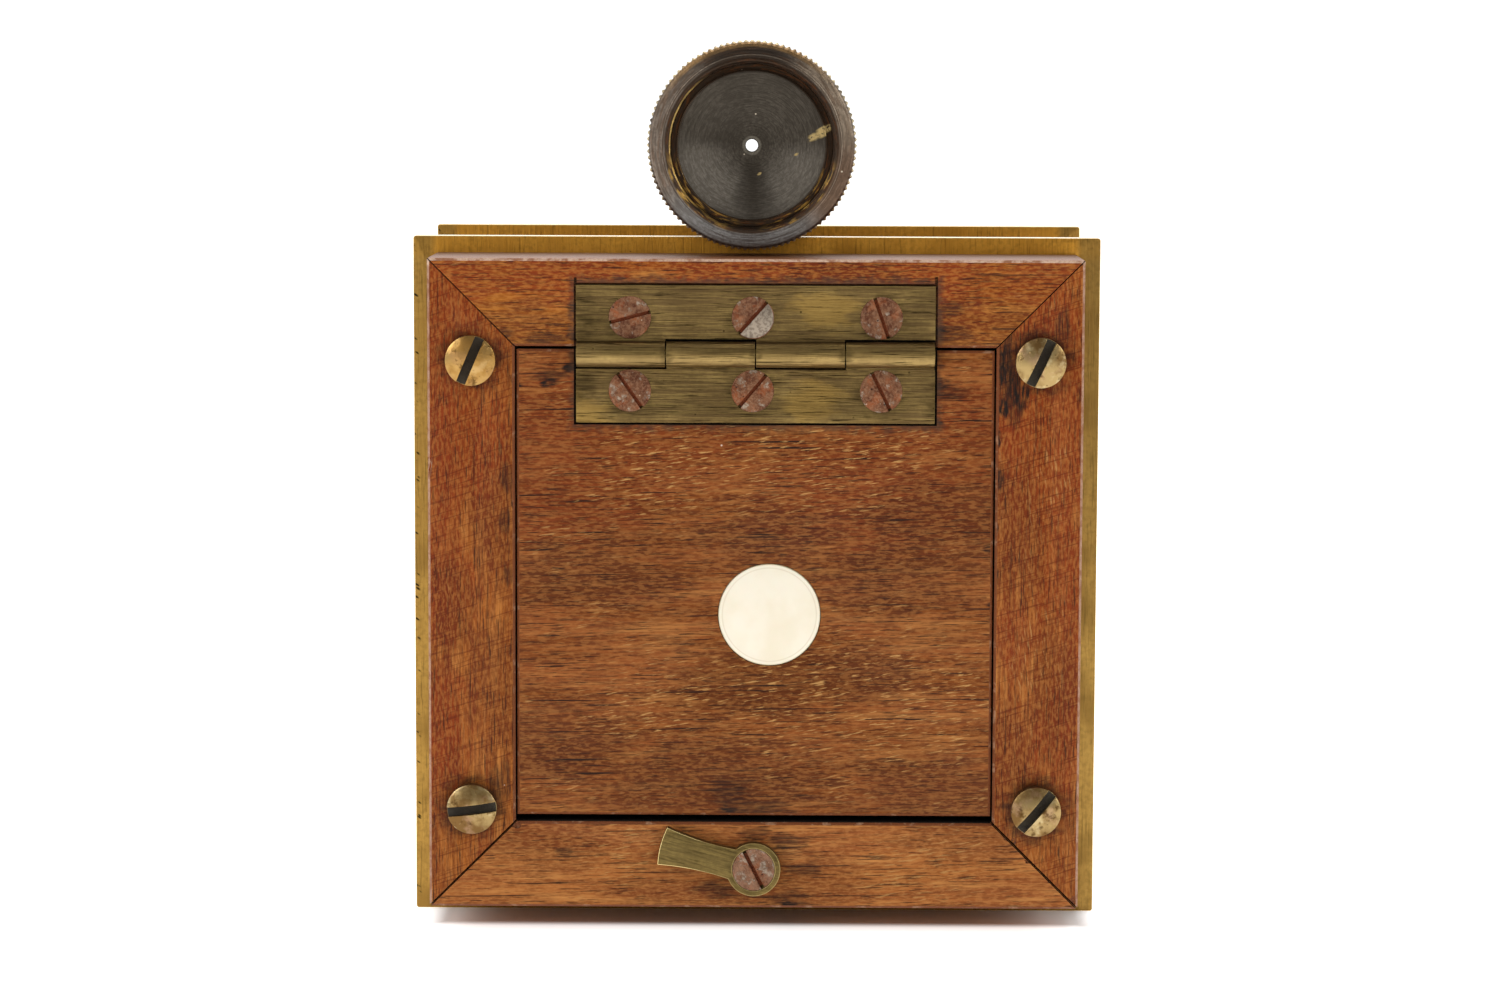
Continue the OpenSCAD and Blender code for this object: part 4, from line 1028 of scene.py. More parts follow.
    # Gaps, beds and the door's edges are nearly black: old dirt and stain, and painted shade in the recesses.
    GAP = WornWood("wood_gaps_dirt_and_painted_shade", "#1b130c", "#352418", 0.5, 0.7, 0.85)
    BONE = Bone("polished_bone", (2.1, 46.4), 7.3)
    VELVET = Velvet("black_velvet")
    # Tinted, because the dark barrel behind real glass lets little light back.
    GLASS = Glass("polished_lens_glass_dark_against_barrel", "#36403c")
    LEVEL_GLASS = Glass("polished_level_glass")
    REST_GLASS = Glass("cemented_glass_rest", "#dcebe2", 0.15)
    SPRING = BluedSteel("blued_spring_steel")

    @cache
    def made(self) -> bpy.types.Material:
        """Returns the material, building it the first time."""
        return self.value.material()


def on_circle(centre: Point, radius: float, angles: tuple[float, ...]) -> list[Point]:
    """Gives points on a circle.

    Args:
        centre: Its centre.
        radius: Its radius.
        angles: Direction of each point in degrees.

    Returns:
        The points in that order.
    """
    turns = [math.radians(a) for a in angles]
    return [(centre[0] + radius * math.cos(t), centre[1] + radius * math.sin(t)) for t in turns]


def ball(half: float, height: float) -> float:
    """Gives the radius of the ball that has a cap of this half width and height."""
    return (half**2 + height**2) / (2 * height)


def rounded(outline: list[Point], radius: float, parts: int = 3) -> list[Point]:
    """Rounds the corners of a closed outline, apart from those on the axis.

    Args:
        outline: Corners in order.
        radius: Radius of the rounding.
        parts: Steps in each rounded corner.

    Returns:
        The outline with its corners rounded.
    """
    out: list[Point] = []
    for i, here in enumerate(outline):
        corner = Vector(here)
        back, on = (Vector(outline[k % len(outline)]) - corner for k in (i - 1, i + 1))
        angle = back.angle(on)
        if abs(here[0]) < 1e-6 or angle > math.radians(172):
            out.append(here)
            continue
        reach = min(radius / math.tan(angle / 2), back.length * 0.45, on.length * 0.45)
        r = reach * math.tan(angle / 2)
        centre = corner + (back.normalized() + on.normalized()).normalized() * (r / math.sin(angle / 2))
        start, end = corner + back.normalized() * reach, corner + on.normalized() * reach
        spokes = [(start.lerp(end, k / parts) - centre).normalized() * r for k in range(parts + 1)]
        out += [tuple(centre + spoke) for spoke in spokes]
    return out


def turned(profile: list[Point], axis: Point, steps: int = 144) -> bmesh.types.BMesh:
    """Turns a profile round a line along Y, as on a lathe.

    Args:
        profile: Closed outline of radius and Y.
        axis: X and Z of the line.
        steps: Steps in a full turn.

    Returns:
        The closed solid.
    """
    bm = bmesh.new()
    rings = []
    for r, y in profile:
        turns = [2 * math.pi * k / steps for k in range(1 if r < 1e-6 else steps)]
        rings.append([bm.verts.new(Vector((axis[0] + r * math.cos(t), y, axis[1] + r * math.sin(t))) * MM)
                      for t in turns])
    for i, ring in enumerate(rings):
        other = rings[(i + 1) % len(rings)]
        if len(ring) == len(other) == 1:
            continue
        for k in range(steps):
            n = (k + 1) % steps
            corners = [ring[k % len(ring)], ring[n % len(ring)], other[n % len(other)], other[k % len(other)]]
            bm.faces.new(list(dict.fromkeys(corners)))
    bmesh.ops.recalc_face_normals(bm, faces=bm.faces)
    return bm


def from_cad(node: str) -> bmesh.types.BMesh:
    """Copies a CAD node into a clean mesh, with its flat faces whole again.

    Args:
        node: Name of the CAD node.

    Returns:
        The merged copy.
    """
    bm = bmesh.new()
    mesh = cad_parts[node].data
    corners = [bm.verts.new(v.co) for v in mesh.vertices]
    for face in mesh.polygons:
        bm.faces.new([corners[i] for i in face.vertices])
    bmesh.ops.remove_doubles(bm, verts=bm.verts, dist=2e-6)
    bmesh.ops.dissolve_degenerate(bm, edges=bm.edges, dist=1e-6)
    bmesh.ops.dissolve_limit(bm, angle_limit=math.radians(0.6), verts=bm.verts, edges=bm.edges)
    return bm


def sort_faces(bm: bmesh.types.BMesh, low: Point, high: Point) -> bmesh.types.BMesh:
    """Numbers a board's faces: 1 rubbed outer arrises, 2 walls of gaps and pockets, 3 other arrises, 4 the top.

    Args:
        bm: The board.
        low: Left and lower edge of the whole wooden back, where walls are clean.
        high: Its right and upper edge.

    Returns:
        The same board.
    """
    bm.normal_update()
    for face in bm.faces:
        middle, normal = face.calc_center_median() / MM, face.normal
        outside = not (low[0] < middle.x < high[0] and low[1] < middle.z < high[1])
        in_bed = all(a < m < b for a, m, b in zip(HINGE_BED[0], middle, HINGE_BED[1]))
        if in_bed or (abs(normal.y) < 0.3 and not outside):
            face.material_index = 2
        elif 0.3 <= -normal.y < 0.97:
            face.material_index = 1 if outside and middle.z > low[1] else 3
        elif normal.z > 0.9 and outside:
            face.material_index = 4
    return bm


def box(middle: Vector, size: Triple, turn: float = 0.0) -> bmesh.types.BMesh:
    """Makes a box for cutting.

    Args:
        middle: Its middle.
        size: Its size along each axis before it is turned.
        turn: Turn about Y in radians.

    Returns:
        The closed box.
    """
    bm = bmesh.new()
    place = Matrix.Translation(middle * MM) @ Matrix.Rotation(turn, 4, "Y")
    bmesh.ops.create_cube(bm, size=1.0, matrix=place @ Matrix.Diagonal((*(s * MM for s in size), 1)))
    return bm


def block(low: Triple, high: Triple) -> bmesh.types.BMesh:
    """Makes a box between two corners, for cutting."""
    return box((Vector(high) + Vector(low)) / 2, Vector(high) - Vector(low))


def splinter(centre: Triple, size: Triple, seed: int) -> bmesh.types.BMesh:
    """Makes a rough lump that breaks a chip out of an edge.

    Args:
        centre: Middle of the lump.
        size: Its half sizes.
        seed: Seed of its shape.

    Returns:
        The closed lump.
    """
    bm = bmesh.new()
    bmesh.ops.create_icosphere(bm, subdivisions=3, radius=1.0)
    pick = random.Random(seed)
    shift = Vector((pick.random(), pick.random(), pick.random())) * 50
    for v in bm.verts:
        v.co *= 1 + 0.35 * noise.noise(v.co * 1.6 + shift) + 0.15 * noise.noise(v.co * 4 + shift)
        v.co = Vector([(centre[i] + v.co[i] * size[i]) * MM for i in range(3)])
    return bm


class Bench:
    """Where meshes are finished and made into pieces of the camera."""

    CREASE = 32.0  # least angle in degrees at which an edge is rounded or stays sharp

    @staticmethod
    def loose(bm: bmesh.types.BMesh, name: str = "work") -> bpy.types.Object:
        """Makes a plain object from a mesh in code.

        Args:
            bm: The mesh, which is used up.
            name: Name of the object.

        Returns:
            The object.
        """
        mesh = bpy.data.meshes.new(name)
        bm.to_mesh(mesh)
        bm.free()
        obj = bpy.data.objects.new(name, mesh)
        bpy.context.scene.collection.objects.link(obj)
        return obj

    @staticmethod
    def settle(obj: bpy.types.Object) -> bpy.types.Mesh:
        """Turns an object with its modifiers into one plain mesh and removes the object.

        Args:
            obj: The object.

        Returns:
            The mesh.
        """
        bpy.context.view_layer.update()
        graph = bpy.context.evaluated_depsgraph_get()
        mesh = bpy.data.meshes.new_from_object(obj.evaluated_get(graph), depsgraph=graph)
        old = obj.data
        bpy.data.objects.remove(obj)
        if old.users == 0:
            bpy.data.meshes.remove(old)
        return mesh

    @classmethod
    def carved(cls, bm: bmesh.types.BMesh, cutters: list[bmesh.types.BMesh]) -> bmesh.types.BMesh:
        """Cuts solids out of a solid.

        Args:
            bm: The solid.
            cutters: What is cut out of it.

        Returns:
            What is left.
        """
        body = cls.loose(bm)
        tools = [cls.loose(c, "cutter") for c in cutters]
        for tool in tools:
            cut = body.modifiers.new("cut", "BOOLEAN")
            cut.operation, cut.solver, cut.object = "DIFFERENCE", "EXACT", tool
        mesh = cls.settle(body)
        for tool in tools:
            bpy.data.objects.remove(tool)
        out = bmesh.new()
        out.from_mesh(mesh)
        bpy.data.meshes.remove(mesh)
        return out

    @staticmethod
    def ease(obj: bpy.types.Object, edge: float, parts: int, crease: float, number: int = -1) -> None:
        """Rounds an object's edges.

        Args:
            obj: The object.
            edge: Width of the rounding.
            parts: Steps in it.
            crease: Least angle in degrees at which an edge is rounded.
            number: Material number of the rounding, or -1 for that of its neighbours.
        """
        bevel = obj.modifiers.new("edges", "BEVEL")
        bevel.width, bevel.segments, bevel.limit_method = edge * MM, parts, "ANGLE"
        bevel.angle_limit, bevel.material = math.radians(crease), number

    @classmethod
    def piece(cls, name: str, node: str, finish: Finish, slot: str, body: Body = Body.CAMERA, *,
              shape: bmesh.types.BMesh | None = None, edge: float = 0.0, parts: int = 3,
              others: tuple[Finish, ...] = (), edge_number: int = -1) -> None:
        """Finishes a mesh and puts it in the place of its CAD node.

        Args:
            name: Name of the piece.
            node: CAD node that it stands for.
            finish: Its finish.
            slot: Material slot of the record, which is not used.
            body: Body that it moves with.
            shape: Its mesh, a copy of the CAD node where none is given.
            edge: Rounding of its edges, or nought.
            parts: Steps in each rounded edge.
            others: Finishes of the faces with material numbers 1, 2 and so on.
            edge_number: Material number of the rounded edges, or -1 for that of their neighbours.
        """
        obj = cls.loose(shape or from_cad(node))
        if edge:
            cls.ease(obj, edge, parts, cls.CREASE, edge_number)
        for each in (finish, *others):
            obj.data.materials.append(each.made())
        cls.place(name, cls.settle(obj), node, slot, body, cls.CREASE)

    @staticmethod
    def place(name: str, mesh: bpy.types.Mesh, node: str, slot: str, body: Body, crease: float) -> None:
        """Shades a finished mesh and lets it ride on its body in the place of its CAD node.

        Args:
            name: Name of the piece.
            mesh: Its mesh.
            node: CAD node that it stands for.
            slot: Material slot of the record, which is not used.
            body: Body that it moves with.
            crease: Least angle in degrees at which an edge stays sharp.
        """
        mesh.name = name
        mesh.shade_smooth()
        mesh.set_sharp_from_angle(angle=math.radians(crease))
        obj = bpy.data.objects.new(name, mesh)
        bpy.context.scene.collection.objects.link(obj)
        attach(obj, body.value)
        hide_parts(node)
        log.info("%s: %d faces on %s", name, len(mesh.polygons), body.value)


class Jig:
    """A geometry tree with named sizes that shapes one piece."""

    def __init__(self, name: str, sizes: dict[str, float]) -> None:
        """Starts the tree with one named input for each size.

        Args:
            name: Name of the tree.
            sizes: Input names with their values, lengths in metres.
        """
        self.sizes = sizes
        self.tree = bpy.data.node_groups.new(name, "GeometryNodeTree")
        face = self.tree.interface
        face.new_socket("Geometry", in_out="INPUT", socket_type="NodeSocketGeometry")
        for key, value in sizes.items():
            kind = "NodeSocketInt" if isinstance(value, int) else "NodeSocketFloat"
            face.new_socket(key, in_out="INPUT", socket_type=kind)
        face.new_socket("Material", in_out="INPUT", socket_type="NodeSocketMaterial")
        face.new_socket("Geometry", in_out="OUTPUT", socket_type="NodeSocketGeometry")
        self.inputs = add(self.tree, "NodeGroupInput").outputs
        self.size = {key: Amount(self.inputs[key]) for key in sizes}

    def use(self, obj: bpy.types.Object, shape: bpy.types.Node, finish: Finish) -> None:
        """Ends the tree in a shape with its material, and puts it on an object.

        Args:
            obj: The object.
            shape: Node that gives the shape.
            finish: Its finish.
        """
        real = add(self.tree, "GeometryNodeRealizeInstances", {"Geometry": shape})
        dressed = add(self.tree, "GeometryNodeSetMaterial", {"Geometry": real, "Material": self.inputs["Material"]})
        add(self.tree, "NodeGroupOutput", {0: dressed})
        modifier = obj.modifiers.new(self.tree.name, "NODES")
        modifier.node_group = self.tree
        values = {**self.sizes, "Material": finish.made()}
        for item in self.tree.interface.items_tree:
            if item.in_out == "INPUT" and item.name in values:
                modifier[item.identifier] = values[item.name]


@dataclass
class Screws:
    """A set of slotted screws, flat-headed or round-topped, set by one geometry tree.

    Attributes:
        node: CAD node that they stand for.
        places: Middle of each head's rim, where it meets the surface.
        slots: Angle of each slot in degrees, from the side direction.
        aim: Direction in which the screws go in.
        head: Head radius.
        shank: Shank radius.
        length: Length from the surface to the tip.
        rise: Edge height of a round-topped head, nought for a flat one.
        crown: Crown of a round-topped head.
        slot_floor: Depth of the slot's floor below the surface, negative when above it.
        rim: Height of a flat head's straight rim.
        edge: Rounding of their edges.
        edge_finish: Finish of the rounding, if it has its own.
    """

    node: str
    places: list[Triple]
    slots: list[float]
    aim: Triple = (0, 1, 0)
    head: float = 3.0
    shank: float = 1.3
    length: float = 8.0
    rise: float = 0.0
    crown: float = 0.0
    slot_width: float = 0.72
    slot_floor: float = 0.9
    rim: float = 0.2
    edge: float = 0.05
    finish: Finish = Finish.FLUSH_BRASS
    edge_finish: Finish | None = None
    slot: str = "screw_brass"
    body: Body = Body.CAMERA
    crease = 38.0  # least angle in degrees at which an edge is rounded or stays sharp
    overlap = 1e-5  # how far a cone reaches into its rim, in metres
    gap = 1e-4  # how far the shank of a flat-headed screw is moved in, in metres
    drawn = 0.985  # share of its length at which a shank is drawn
    flat_steps = 48  # steps round a flat head
    round_steps = 64  # steps round a round-topped one
    ball_steps = 96  # steps round and up the ball of its top
    shank_steps = 32  # steps round a shank

    def build(self) -> None:
        """Builds the screws as one piece."""
        name = self.node + "_set"
        jig = Jig(name, {
            "Head Radius": self.head * MM, "Rim Height": self.rim * MM, "Shank Radius": self.shank * MM,
            "Length": self.length * MM, "Rise": self.rise * MM, "Crown": self.crown * MM,
            "Slot Width": self.slot_width * MM, "Slot Floor": self.slot_floor * MM})
        aim, slot = (add(jig.tree, "GeometryNodeInputNamedAttribute", {"Name": key}, data_type="FLOAT_VECTOR")
                     for key in ("aim", "slot"))
        turn = add(jig.tree, "FunctionNodeAxesToRotation", {"Primary Axis": aim, "Secondary Axis": slot},
                   primary_axis="Z", secondary_axis="X")
        copies = add(jig.tree, "GeometryNodeInstanceOnPoints", {
            "Points": jig.inputs["Geometry"], "Instance": self.screw(jig), "Rotation": turn})
        mesh = self.points(name)
        obj = bpy.data.objects.new(name + "_points", mesh)
        bpy.context.scene.collection.objects.link(obj)
        jig.use(obj, copies, self.finish)
        if self.edge_finish:
            # The bevel uses material number 1 only where the object itself has two materials.
            for each in (self.finish, self.edge_finish):
                mesh.materials.append(each.made())
        Bench.ease(obj, self.edge, 2, self.crease, 1 if self.edge_finish else -1)
        done = Bench.settle(obj)
        if self.edge_finish:
            done.materials.append(self.edge_finish.made())
        Bench.place(name, done, self.node, self.slot, self.body, self.crease)

    def points(self, name: str) -> bpy.types.Mesh:
        """Marks out where each screw stands and how it is turned.

        Args:
            name: Name of the mesh.

        Returns:
            A mesh of points with the two directions of each screw.
        """
        mesh = bpy.data.meshes.new(name)
        mesh.from_pydata([Vector(p) * MM for p in self.places], [], [])
        aim, side = Vector(self.aim), Vector((1, 0, 0))
        third = side.cross(aim) if abs(aim.y) < 0.5 else Vector((0, 0, 1))
        turns = [math.radians(a) for a in self.slots]
        slots = [side * math.cos(t) + third * math.sin(t) for t in turns]
        for key, ways in (("aim", [aim] * len(slots)), ("slot", slots)):
            data = mesh.attributes.new(key, "FLOAT_VECTOR", "POINT").data
            for row, way in zip(data, ways):
                row.vector = way
        return mesh

    def screw(self, jig: Jig) -> bpy.types.Node:
        """Makes one screw along +Z with its slot cut.

        Args:
            jig: Tree that gets it.

        Returns:
            The node that gives it.
        """
        tree, size = jig.tree, jig.size
        parts = [*(self.round_top if self.rise else self.flat_top)(jig), self.stem(jig)]
        whole = add(tree, "GeometryNodeMeshBoolean", {"Mesh": parts}, operation="UNION", solver="EXACT")
        long = size["Head Radius"] * 3.0
        saw = add(tree, "GeometryNodeMeshCube", {
            "Size": add(tree, "ShaderNodeCombineXYZ", {"X": long, "Y": size["Slot Width"], "Z": long})})
        saw = self.lifted(saw, long * -0.5 + size["Slot Floor"])
        return add(tree, "GeometryNodeMeshBoolean", {"Mesh 1": whole, "Mesh 2": saw}, operation="DIFFERENCE",
                   solver="EXACT")

    def lifted(self, shape: bpy.types.Node, height: Amount, scale: Triple = (1, 1, 1)) -> bpy.types.Node:
        """Moves a shape along the screw's axis and scales it."""
        up = add(height.tree, "ShaderNodeCombineXYZ", {"Z": height})
        return add(height.tree, "GeometryNodeTransform", {"Geometry": shape, "Translation": up, "Scale": scale})

    def flat_top(self, jig: Jig) -> list[bpy.types.Node]:
        """Makes a countersunk head with its face at nought.

        Args:
            jig: Tree that gets it.

        Returns:
            The nodes that give its straight rim and its cone.
        """
        head, shank, rim = (jig.size[key] for key in ("Head Radius", "Shank Radius", "Rim Height"))
        disc = add(jig.tree, "GeometryNodeMeshCylinder", {"Vertices": self.flat_steps, "Radius": head, "Depth": rim})
        cone = add(jig.tree, "GeometryNodeMeshCone", {
            "Vertices": self.flat_steps, "Radius Top": shank, "Radius Bottom": head, "Depth": head - shank})
        return [self.lifted(disc, rim * 0.5), self.lifted(cone, rim - self.overlap)]

    def round_top(self, jig: Jig) -> list[bpy.types.Node]:
        """Makes a head below nought whose top is part of a ball.

        Args:
            jig: Tree that gets it.

        Returns:
            The node that gives it.
        """
        head, rise, crown = (jig.size[key] for key in ("Head Radius", "Rise", "Crown"))
        radius = (crown * crown + head * head) / crown * 0.5
        sphere = add(jig.tree, "GeometryNodeMeshUVSphere", {
            "Segments": self.ball_steps, "Rings": self.ball_steps, "Radius": radius})
        tall = crown + rise
        post = add(jig.tree, "GeometryNodeMeshCylinder", {
            "Vertices": self.round_steps, "Radius": head, "Depth": tall})
        parts = [self.lifted(post, tall * -0.5), self.lifted(sphere, radius - rise - crown)]
        return [add(jig.tree, "GeometryNodeMeshBoolean", {"Mesh": parts}, operation="INTERSECT", solver="EXACT")]

    def stem(self, jig: Jig) -> bpy.types.Node:
        """Makes the shank and returns its node."""
        rod = add(jig.tree, "GeometryNodeMeshCylinder", {
            "Vertices": self.shank_steps, "Radius": jig.size["Shank Radius"], "Depth": jig.size["Length"]})
        half = jig.size["Length"] * 0.5
        return self.lifted(rod, half if self.rise else half + self.gap, (1, 1, self.drawn))


@dataclass
class SmallScrews(Screws):
    """A set of the small countersunk brass screws that hold fittings."""

    head: float = 1.6
    shank: float = 0.8
    slot_width: float = 0.38
    slot_floor: float = 0.48


@dataclass
class BrassBox:
    """The two square plates, the box and posts between them and the stand bush."""

    depth: float = 39.0
    plate: float = 3.0
    middle: float = 49.7
    post: float = 38.5
    floor: float = 5.7
    bush_screw: float = 10.1

    def build(self) -> None:
        """Builds and dresses the box."""
        for node in ("rear_plate", "front_plate"):
            shape = from_cad(node)
            shape.normal_update()
            for face in shape.faces:
                face.material_index = 2 if face.normal.z > 0.9 else 3 if face.normal.y > 0.9 else 0
            Bench.piece(node + "_filed", node, Finish.PLATE, "plate_brass", shape=shape, edge=0.2, edge_number=1,
                        others=(Finish.PLATE_EDGE, Finish.PLATE_TOP, Finish.PLATE_FACE))
        Bench.piece("box_sheet", "body_shell", Finish.SHEET, "box_brass", edge=0.25)
        Bench.piece("posts_turned", "corner_posts", Finish.POST, "box_brass")
        Bench.piece("bush_turned", "stand_bush", Finish.POST, "box_brass", edge=0.2)
        half = self.depth / 2 + self.plate
        corners = [(x * self.post, self.middle + z * self.post) for x in (-1, 1) for z in (-1, 1)]
        for node, y, aim in (("rear_plate_screws", -half, 1), ("front_plate_screws", half, -1)):
            Screws(node, [(x, y, z) for x, z in corners], [30, 50, 75, 20], (0, aim, 0), shank=1.5,
                   length=10.0).build()
        ring = on_circle((0, 0), self.bush_screw, (45, 135, 225, 315))
        SmallScrews("bush_screws", [(x, y, self.floor) for x, y in ring], [20, 60, 100, 140], (0, 0, 1),
                    length=3.6).build()


@dataclass
class WoodenBack:
    """The mitred wooden back with its screws, door stop velvet and corner rests.

    Attributes:
        low: Left and lower edge of the back's front, inside its rubbed arrises.
        high: Its right and upper edge.
        overcuts: Where the saw ran past the hinge's pocket.
        kerf: Half width of those cuts, and how far they go out of the face, into it, down and up.
        mortise: Corners of the box that squares the hinge's pocket.
        mitre: Outer and inner end of the right lower mitre.
        open_left: Width of the open joint on the left.
        open_right: Its width on the right.
        proud: How far before the face the middles of the chips lie.
    """

    face: float = -40.5
    middle: float = 50.5
    screw_x: float = 40.3
    screw_z: float = 32.1
    low: Point = (-46.2, 4.3)
    high: Point = (46.2, 96.7)
    overcuts: tuple[Point, ...] = ((-25.5, 94.0), (25.5, 94.3))
    kerf: tuple[float, ...] = (0.2, 1.0, 0.9, 1.3, 0.35)
    mortise: tuple[Triple, Triple] = ((-25.72, -42.0, 80.0), (25.72, -39.6, 93.62))
    mitre: tuple[Point, Point] = ((46.8, 3.7), (33.8, 16.7))
    mitre_depth: float = 1.2
    open_left: float = 0.3
    open_right: float = 0.34
    proud: float = 0.1

    # X, Z, half sizes and seed of each chip that is broken out of a board.
    CHIPS = {
        "bottom": ((-34.0, 15.9, (0.9, 0.5, 0.6), 3), (8.0, 16.5, (2.2, 0.35, 0.28), 5),
                   (14.5, 16.5, (3.0, 0.3, 0.22), 8), (36.2, 14.4, (0.5, 0.5, 0.5), 13),
                   (39.4, 11.0, (0.6, 0.5, 0.35), 21)),
        "left": ((-46.6, 67.5, (0.7, 0.5, 2.4), 34), (-34.0, 16.6, (0.5, 0.4, 0.5), 55)),
        "right": ((37.2, 13.8, (0.45, 0.4, 0.5), 89), (45.9, 5.2, (0.7, 0.4, 0.7), 144),
                  (34.0, 70.0, (0.3, 0.4, 3.0), 233)),
    }

    def build(self) -> None:
        """Builds and dresses the back."""
        y = self.face
        half, out, into, down, up = self.kerf
        kerfs = [block((x - half, y - out, z - down), (x + half, y + into, z + up)) for x, z in self.overcuts]
        chips = {key: [splinter((x, y - self.proud, z), size, seed) for x, z, size, seed in rows]
                 for key, rows in self.CHIPS.items()}
        boards = (
            ("back_rail_top", Finish.RAIL_TOP, [*kerfs, block(*self.mortise)]),
            ("back_rail_bottom", Finish.RAIL_BOTTOM, [self.joint(-1), self.joint(1), *chips["bottom"]]),
            ("back_stile_left", Finish.STILE_LEFT, [self.joint(-1), *chips["left"]]),
            ("back_stile_right", Finish.STILE_RIGHT, [self.joint(1), *chips["right"]]),
        )
        for node, finish, cuts in boards:
            board = sort_faces(Bench.carved(from_cad(node), cuts), self.low, self.high)
            Bench.piece(node + "_board", node, finish, "frame_wood", shape=board, edge=0.12, parts=2,
                        others=(Finish.ARRIS, Finish.GAP, Finish.DARK_ARRIS, Finish.ROOF))
        places = [(x * self.screw_x, y, self.middle + z * self.screw_z) for z in (-1, 1) for x in (-1, 1)]
        Screws("back_screws", places, [7, 50, 67, 65], head=3.55, shank=1.75, length=22.0, rise=1.7, crown=0.75,
               slot_width=1.35, slot_floor=-1.0, edge=0.09, finish=Finish.SCREW_BRASS).build()
        Bench.piece("stop_velvet", "door_seal", Finish.VELVET, "velvet", edge=0.08)
        Bench.piece("corner_rests", "plate_corner_rests", Finish.REST_GLASS, "clear_glass", edge=0.15)

    def joint(self, side: int) -> bmesh.types.BMesh:
        """Makes the thin blade that opens a lower mitre.

        Args:
            side: -1 for the left one, 1 for the right one.

        Returns:
            The blade.
        """
        start, end = (Vector((side * x, self.face, z)) for x, z in self.mitre)
        run = end - start
        size = (run.length, 2 * self.mitre_depth, self.open_left if side < 0 else self.open_right)
        return box((start + end) / 2, size, -math.atan2(run.z, run.x))


@dataclass
class LoadingDoor:
    """The hinged wooden door with its inlaid disc and plate spring.

    Attributes:
        mortise: Corners of the box that squares the hinge's pocket.
        edge_x: How far the door's side edges are from its middle.
        proud: How far before the face the middles of the chips lie.
        chip_low: Height from which the side edges are chipped.
        chip_run: Height over which the chips are spread.
        chip_width: Least half width of a chip, and how much wider it may be.
        chip_length: Least half length of a chip, and how much longer it may be.
    """

    face: float = -40.35
    disc: Point = (2.1, 46.4)
    disc_radius: float = 7.3
    disc_thick: float = 1.6
    mortise: tuple[Triple, Triple] = ((-25.72, -42.0, 73.5), (25.72, -39.25, 84.8))
    edge_x: float = 33.93
    proud: float = 0.1
    chip_low: float = 21.0
    chip_run: float = 60.0
    chip_width: Point = (0.12, 0.2)
    chip_length: Point = (1.5, 2.5)

    def build(self) -> None:
        """Builds and dresses the door."""
        board = sort_faces(Bench.carved(from_cad("door_panel"), [*self.chips(), block(*self.mortise)]),
                           (-90, -90), (90, 190))
        Bench.piece("door_board", "door_panel", Finish.DOOR, "door_wood", Body.DOOR, shape=board, edge=0.12, parts=2,
                    others=(Finish.ARRIS, Finish.GAP, Finish.DARK_ARRIS))
        y, r, t = self.face, self.disc_radius, self.disc_thick
        profile = rounded([(0, y), (r, y), (r, y + t), (0, y + t)], 0.18)
        Bench.piece("bone_disc_polished", "bone_disc", Finish.BONE, "bone", Body.DOOR,
                    shape=turned(profile, self.disc))
        Bench.piece("spring_blued", "pressure_spring", Finish.SPRING, "spring_steel", Body.DOOR, edge=0.08)
        Bench.piece("spring_screw_turned", "spring_screw", Finish.FLUSH_BRASS, "screw_brass", Body.DOOR, edge=0.06)

    def chips(self) -> list[bmesh.types.BMesh]:
        """Makes the lumps that break the door's edges.

        Returns:
            Two along the lower edge, then five down the left one and seven down the right one.
        """
        y = self.face - self.proud
        cuts = [splinter((-10.4, y, 17.25), (1.4, 0.5, 0.3), 7), splinter((4.0, y, 17.2), (5.0, 0.4, 0.22), 11)]
        pick = random.Random(17)
        (thin, wider), (short, longer) = self.chip_width, self.chip_length
        for side, count in ((-1, 5), (1, 7)):
            for k in range(count):
                z = self.chip_low + self.chip_run * (k + pick.random()) / count
                size = (thin + wider * pick.random(), 0.5, short + longer * pick.random())
                cuts.append(splinter((side * self.edge_x, y, z), size, k))
        return cuts


@dataclass
class ButtHinge:
    """The flush brass butt hinge with its pin and six rusty screws."""

    pin_z: float = 83.55
    screw_x: Triple = (-17.8, -0.4, 17.8)
    screw_out: float = 5.2
    frame_face: float = -40.5
    door_face: float = -40.35
    knuckle_back: float = -40.8

    def build(self) -> None:
        """Builds and dresses the hinge."""
        for node, body in (("hinge_leaf_frame", Body.CAMERA), ("hinge_leaf_door", Body.DOOR)):
            leaf = from_cad(node)
            for face in leaf.faces:
                face.material_index = 2 if face.calc_center_median().y < self.knuckle_back * MM else 0
            Bench.piece(node + "_brushed", node, Finish.OLIVE, "aged_brass", body, shape=leaf, edge=0.09, parts=2,
                        others=(Finish.OLIVE_EDGE, Finish.KNUCKLE), edge_number=1)
        Bench.piece("hinge_pin_round", "hinge_pin", Finish.OLIVE, "aged_brass", edge=0.1)
        for node, body, y, side, slots in (
            ("hinge_screws_frame", Body.CAMERA, self.frame_face, 1, [15, 48, 109]),
            ("hinge_screws_door", Body.DOOR, self.door_face, -1, [125, 50, 116]),
        ):
            places = [(x, y, self.pin_z + side * self.screw_out) for x in self.screw_x]
            Screws(node, places, slots, slot_width=0.5, slot_floor=0.45, edge=0.1, finish=Finish.RUST,
                   edge_finish=Finish.STEEL_RIM, slot="rusty_steel", body=body).build()


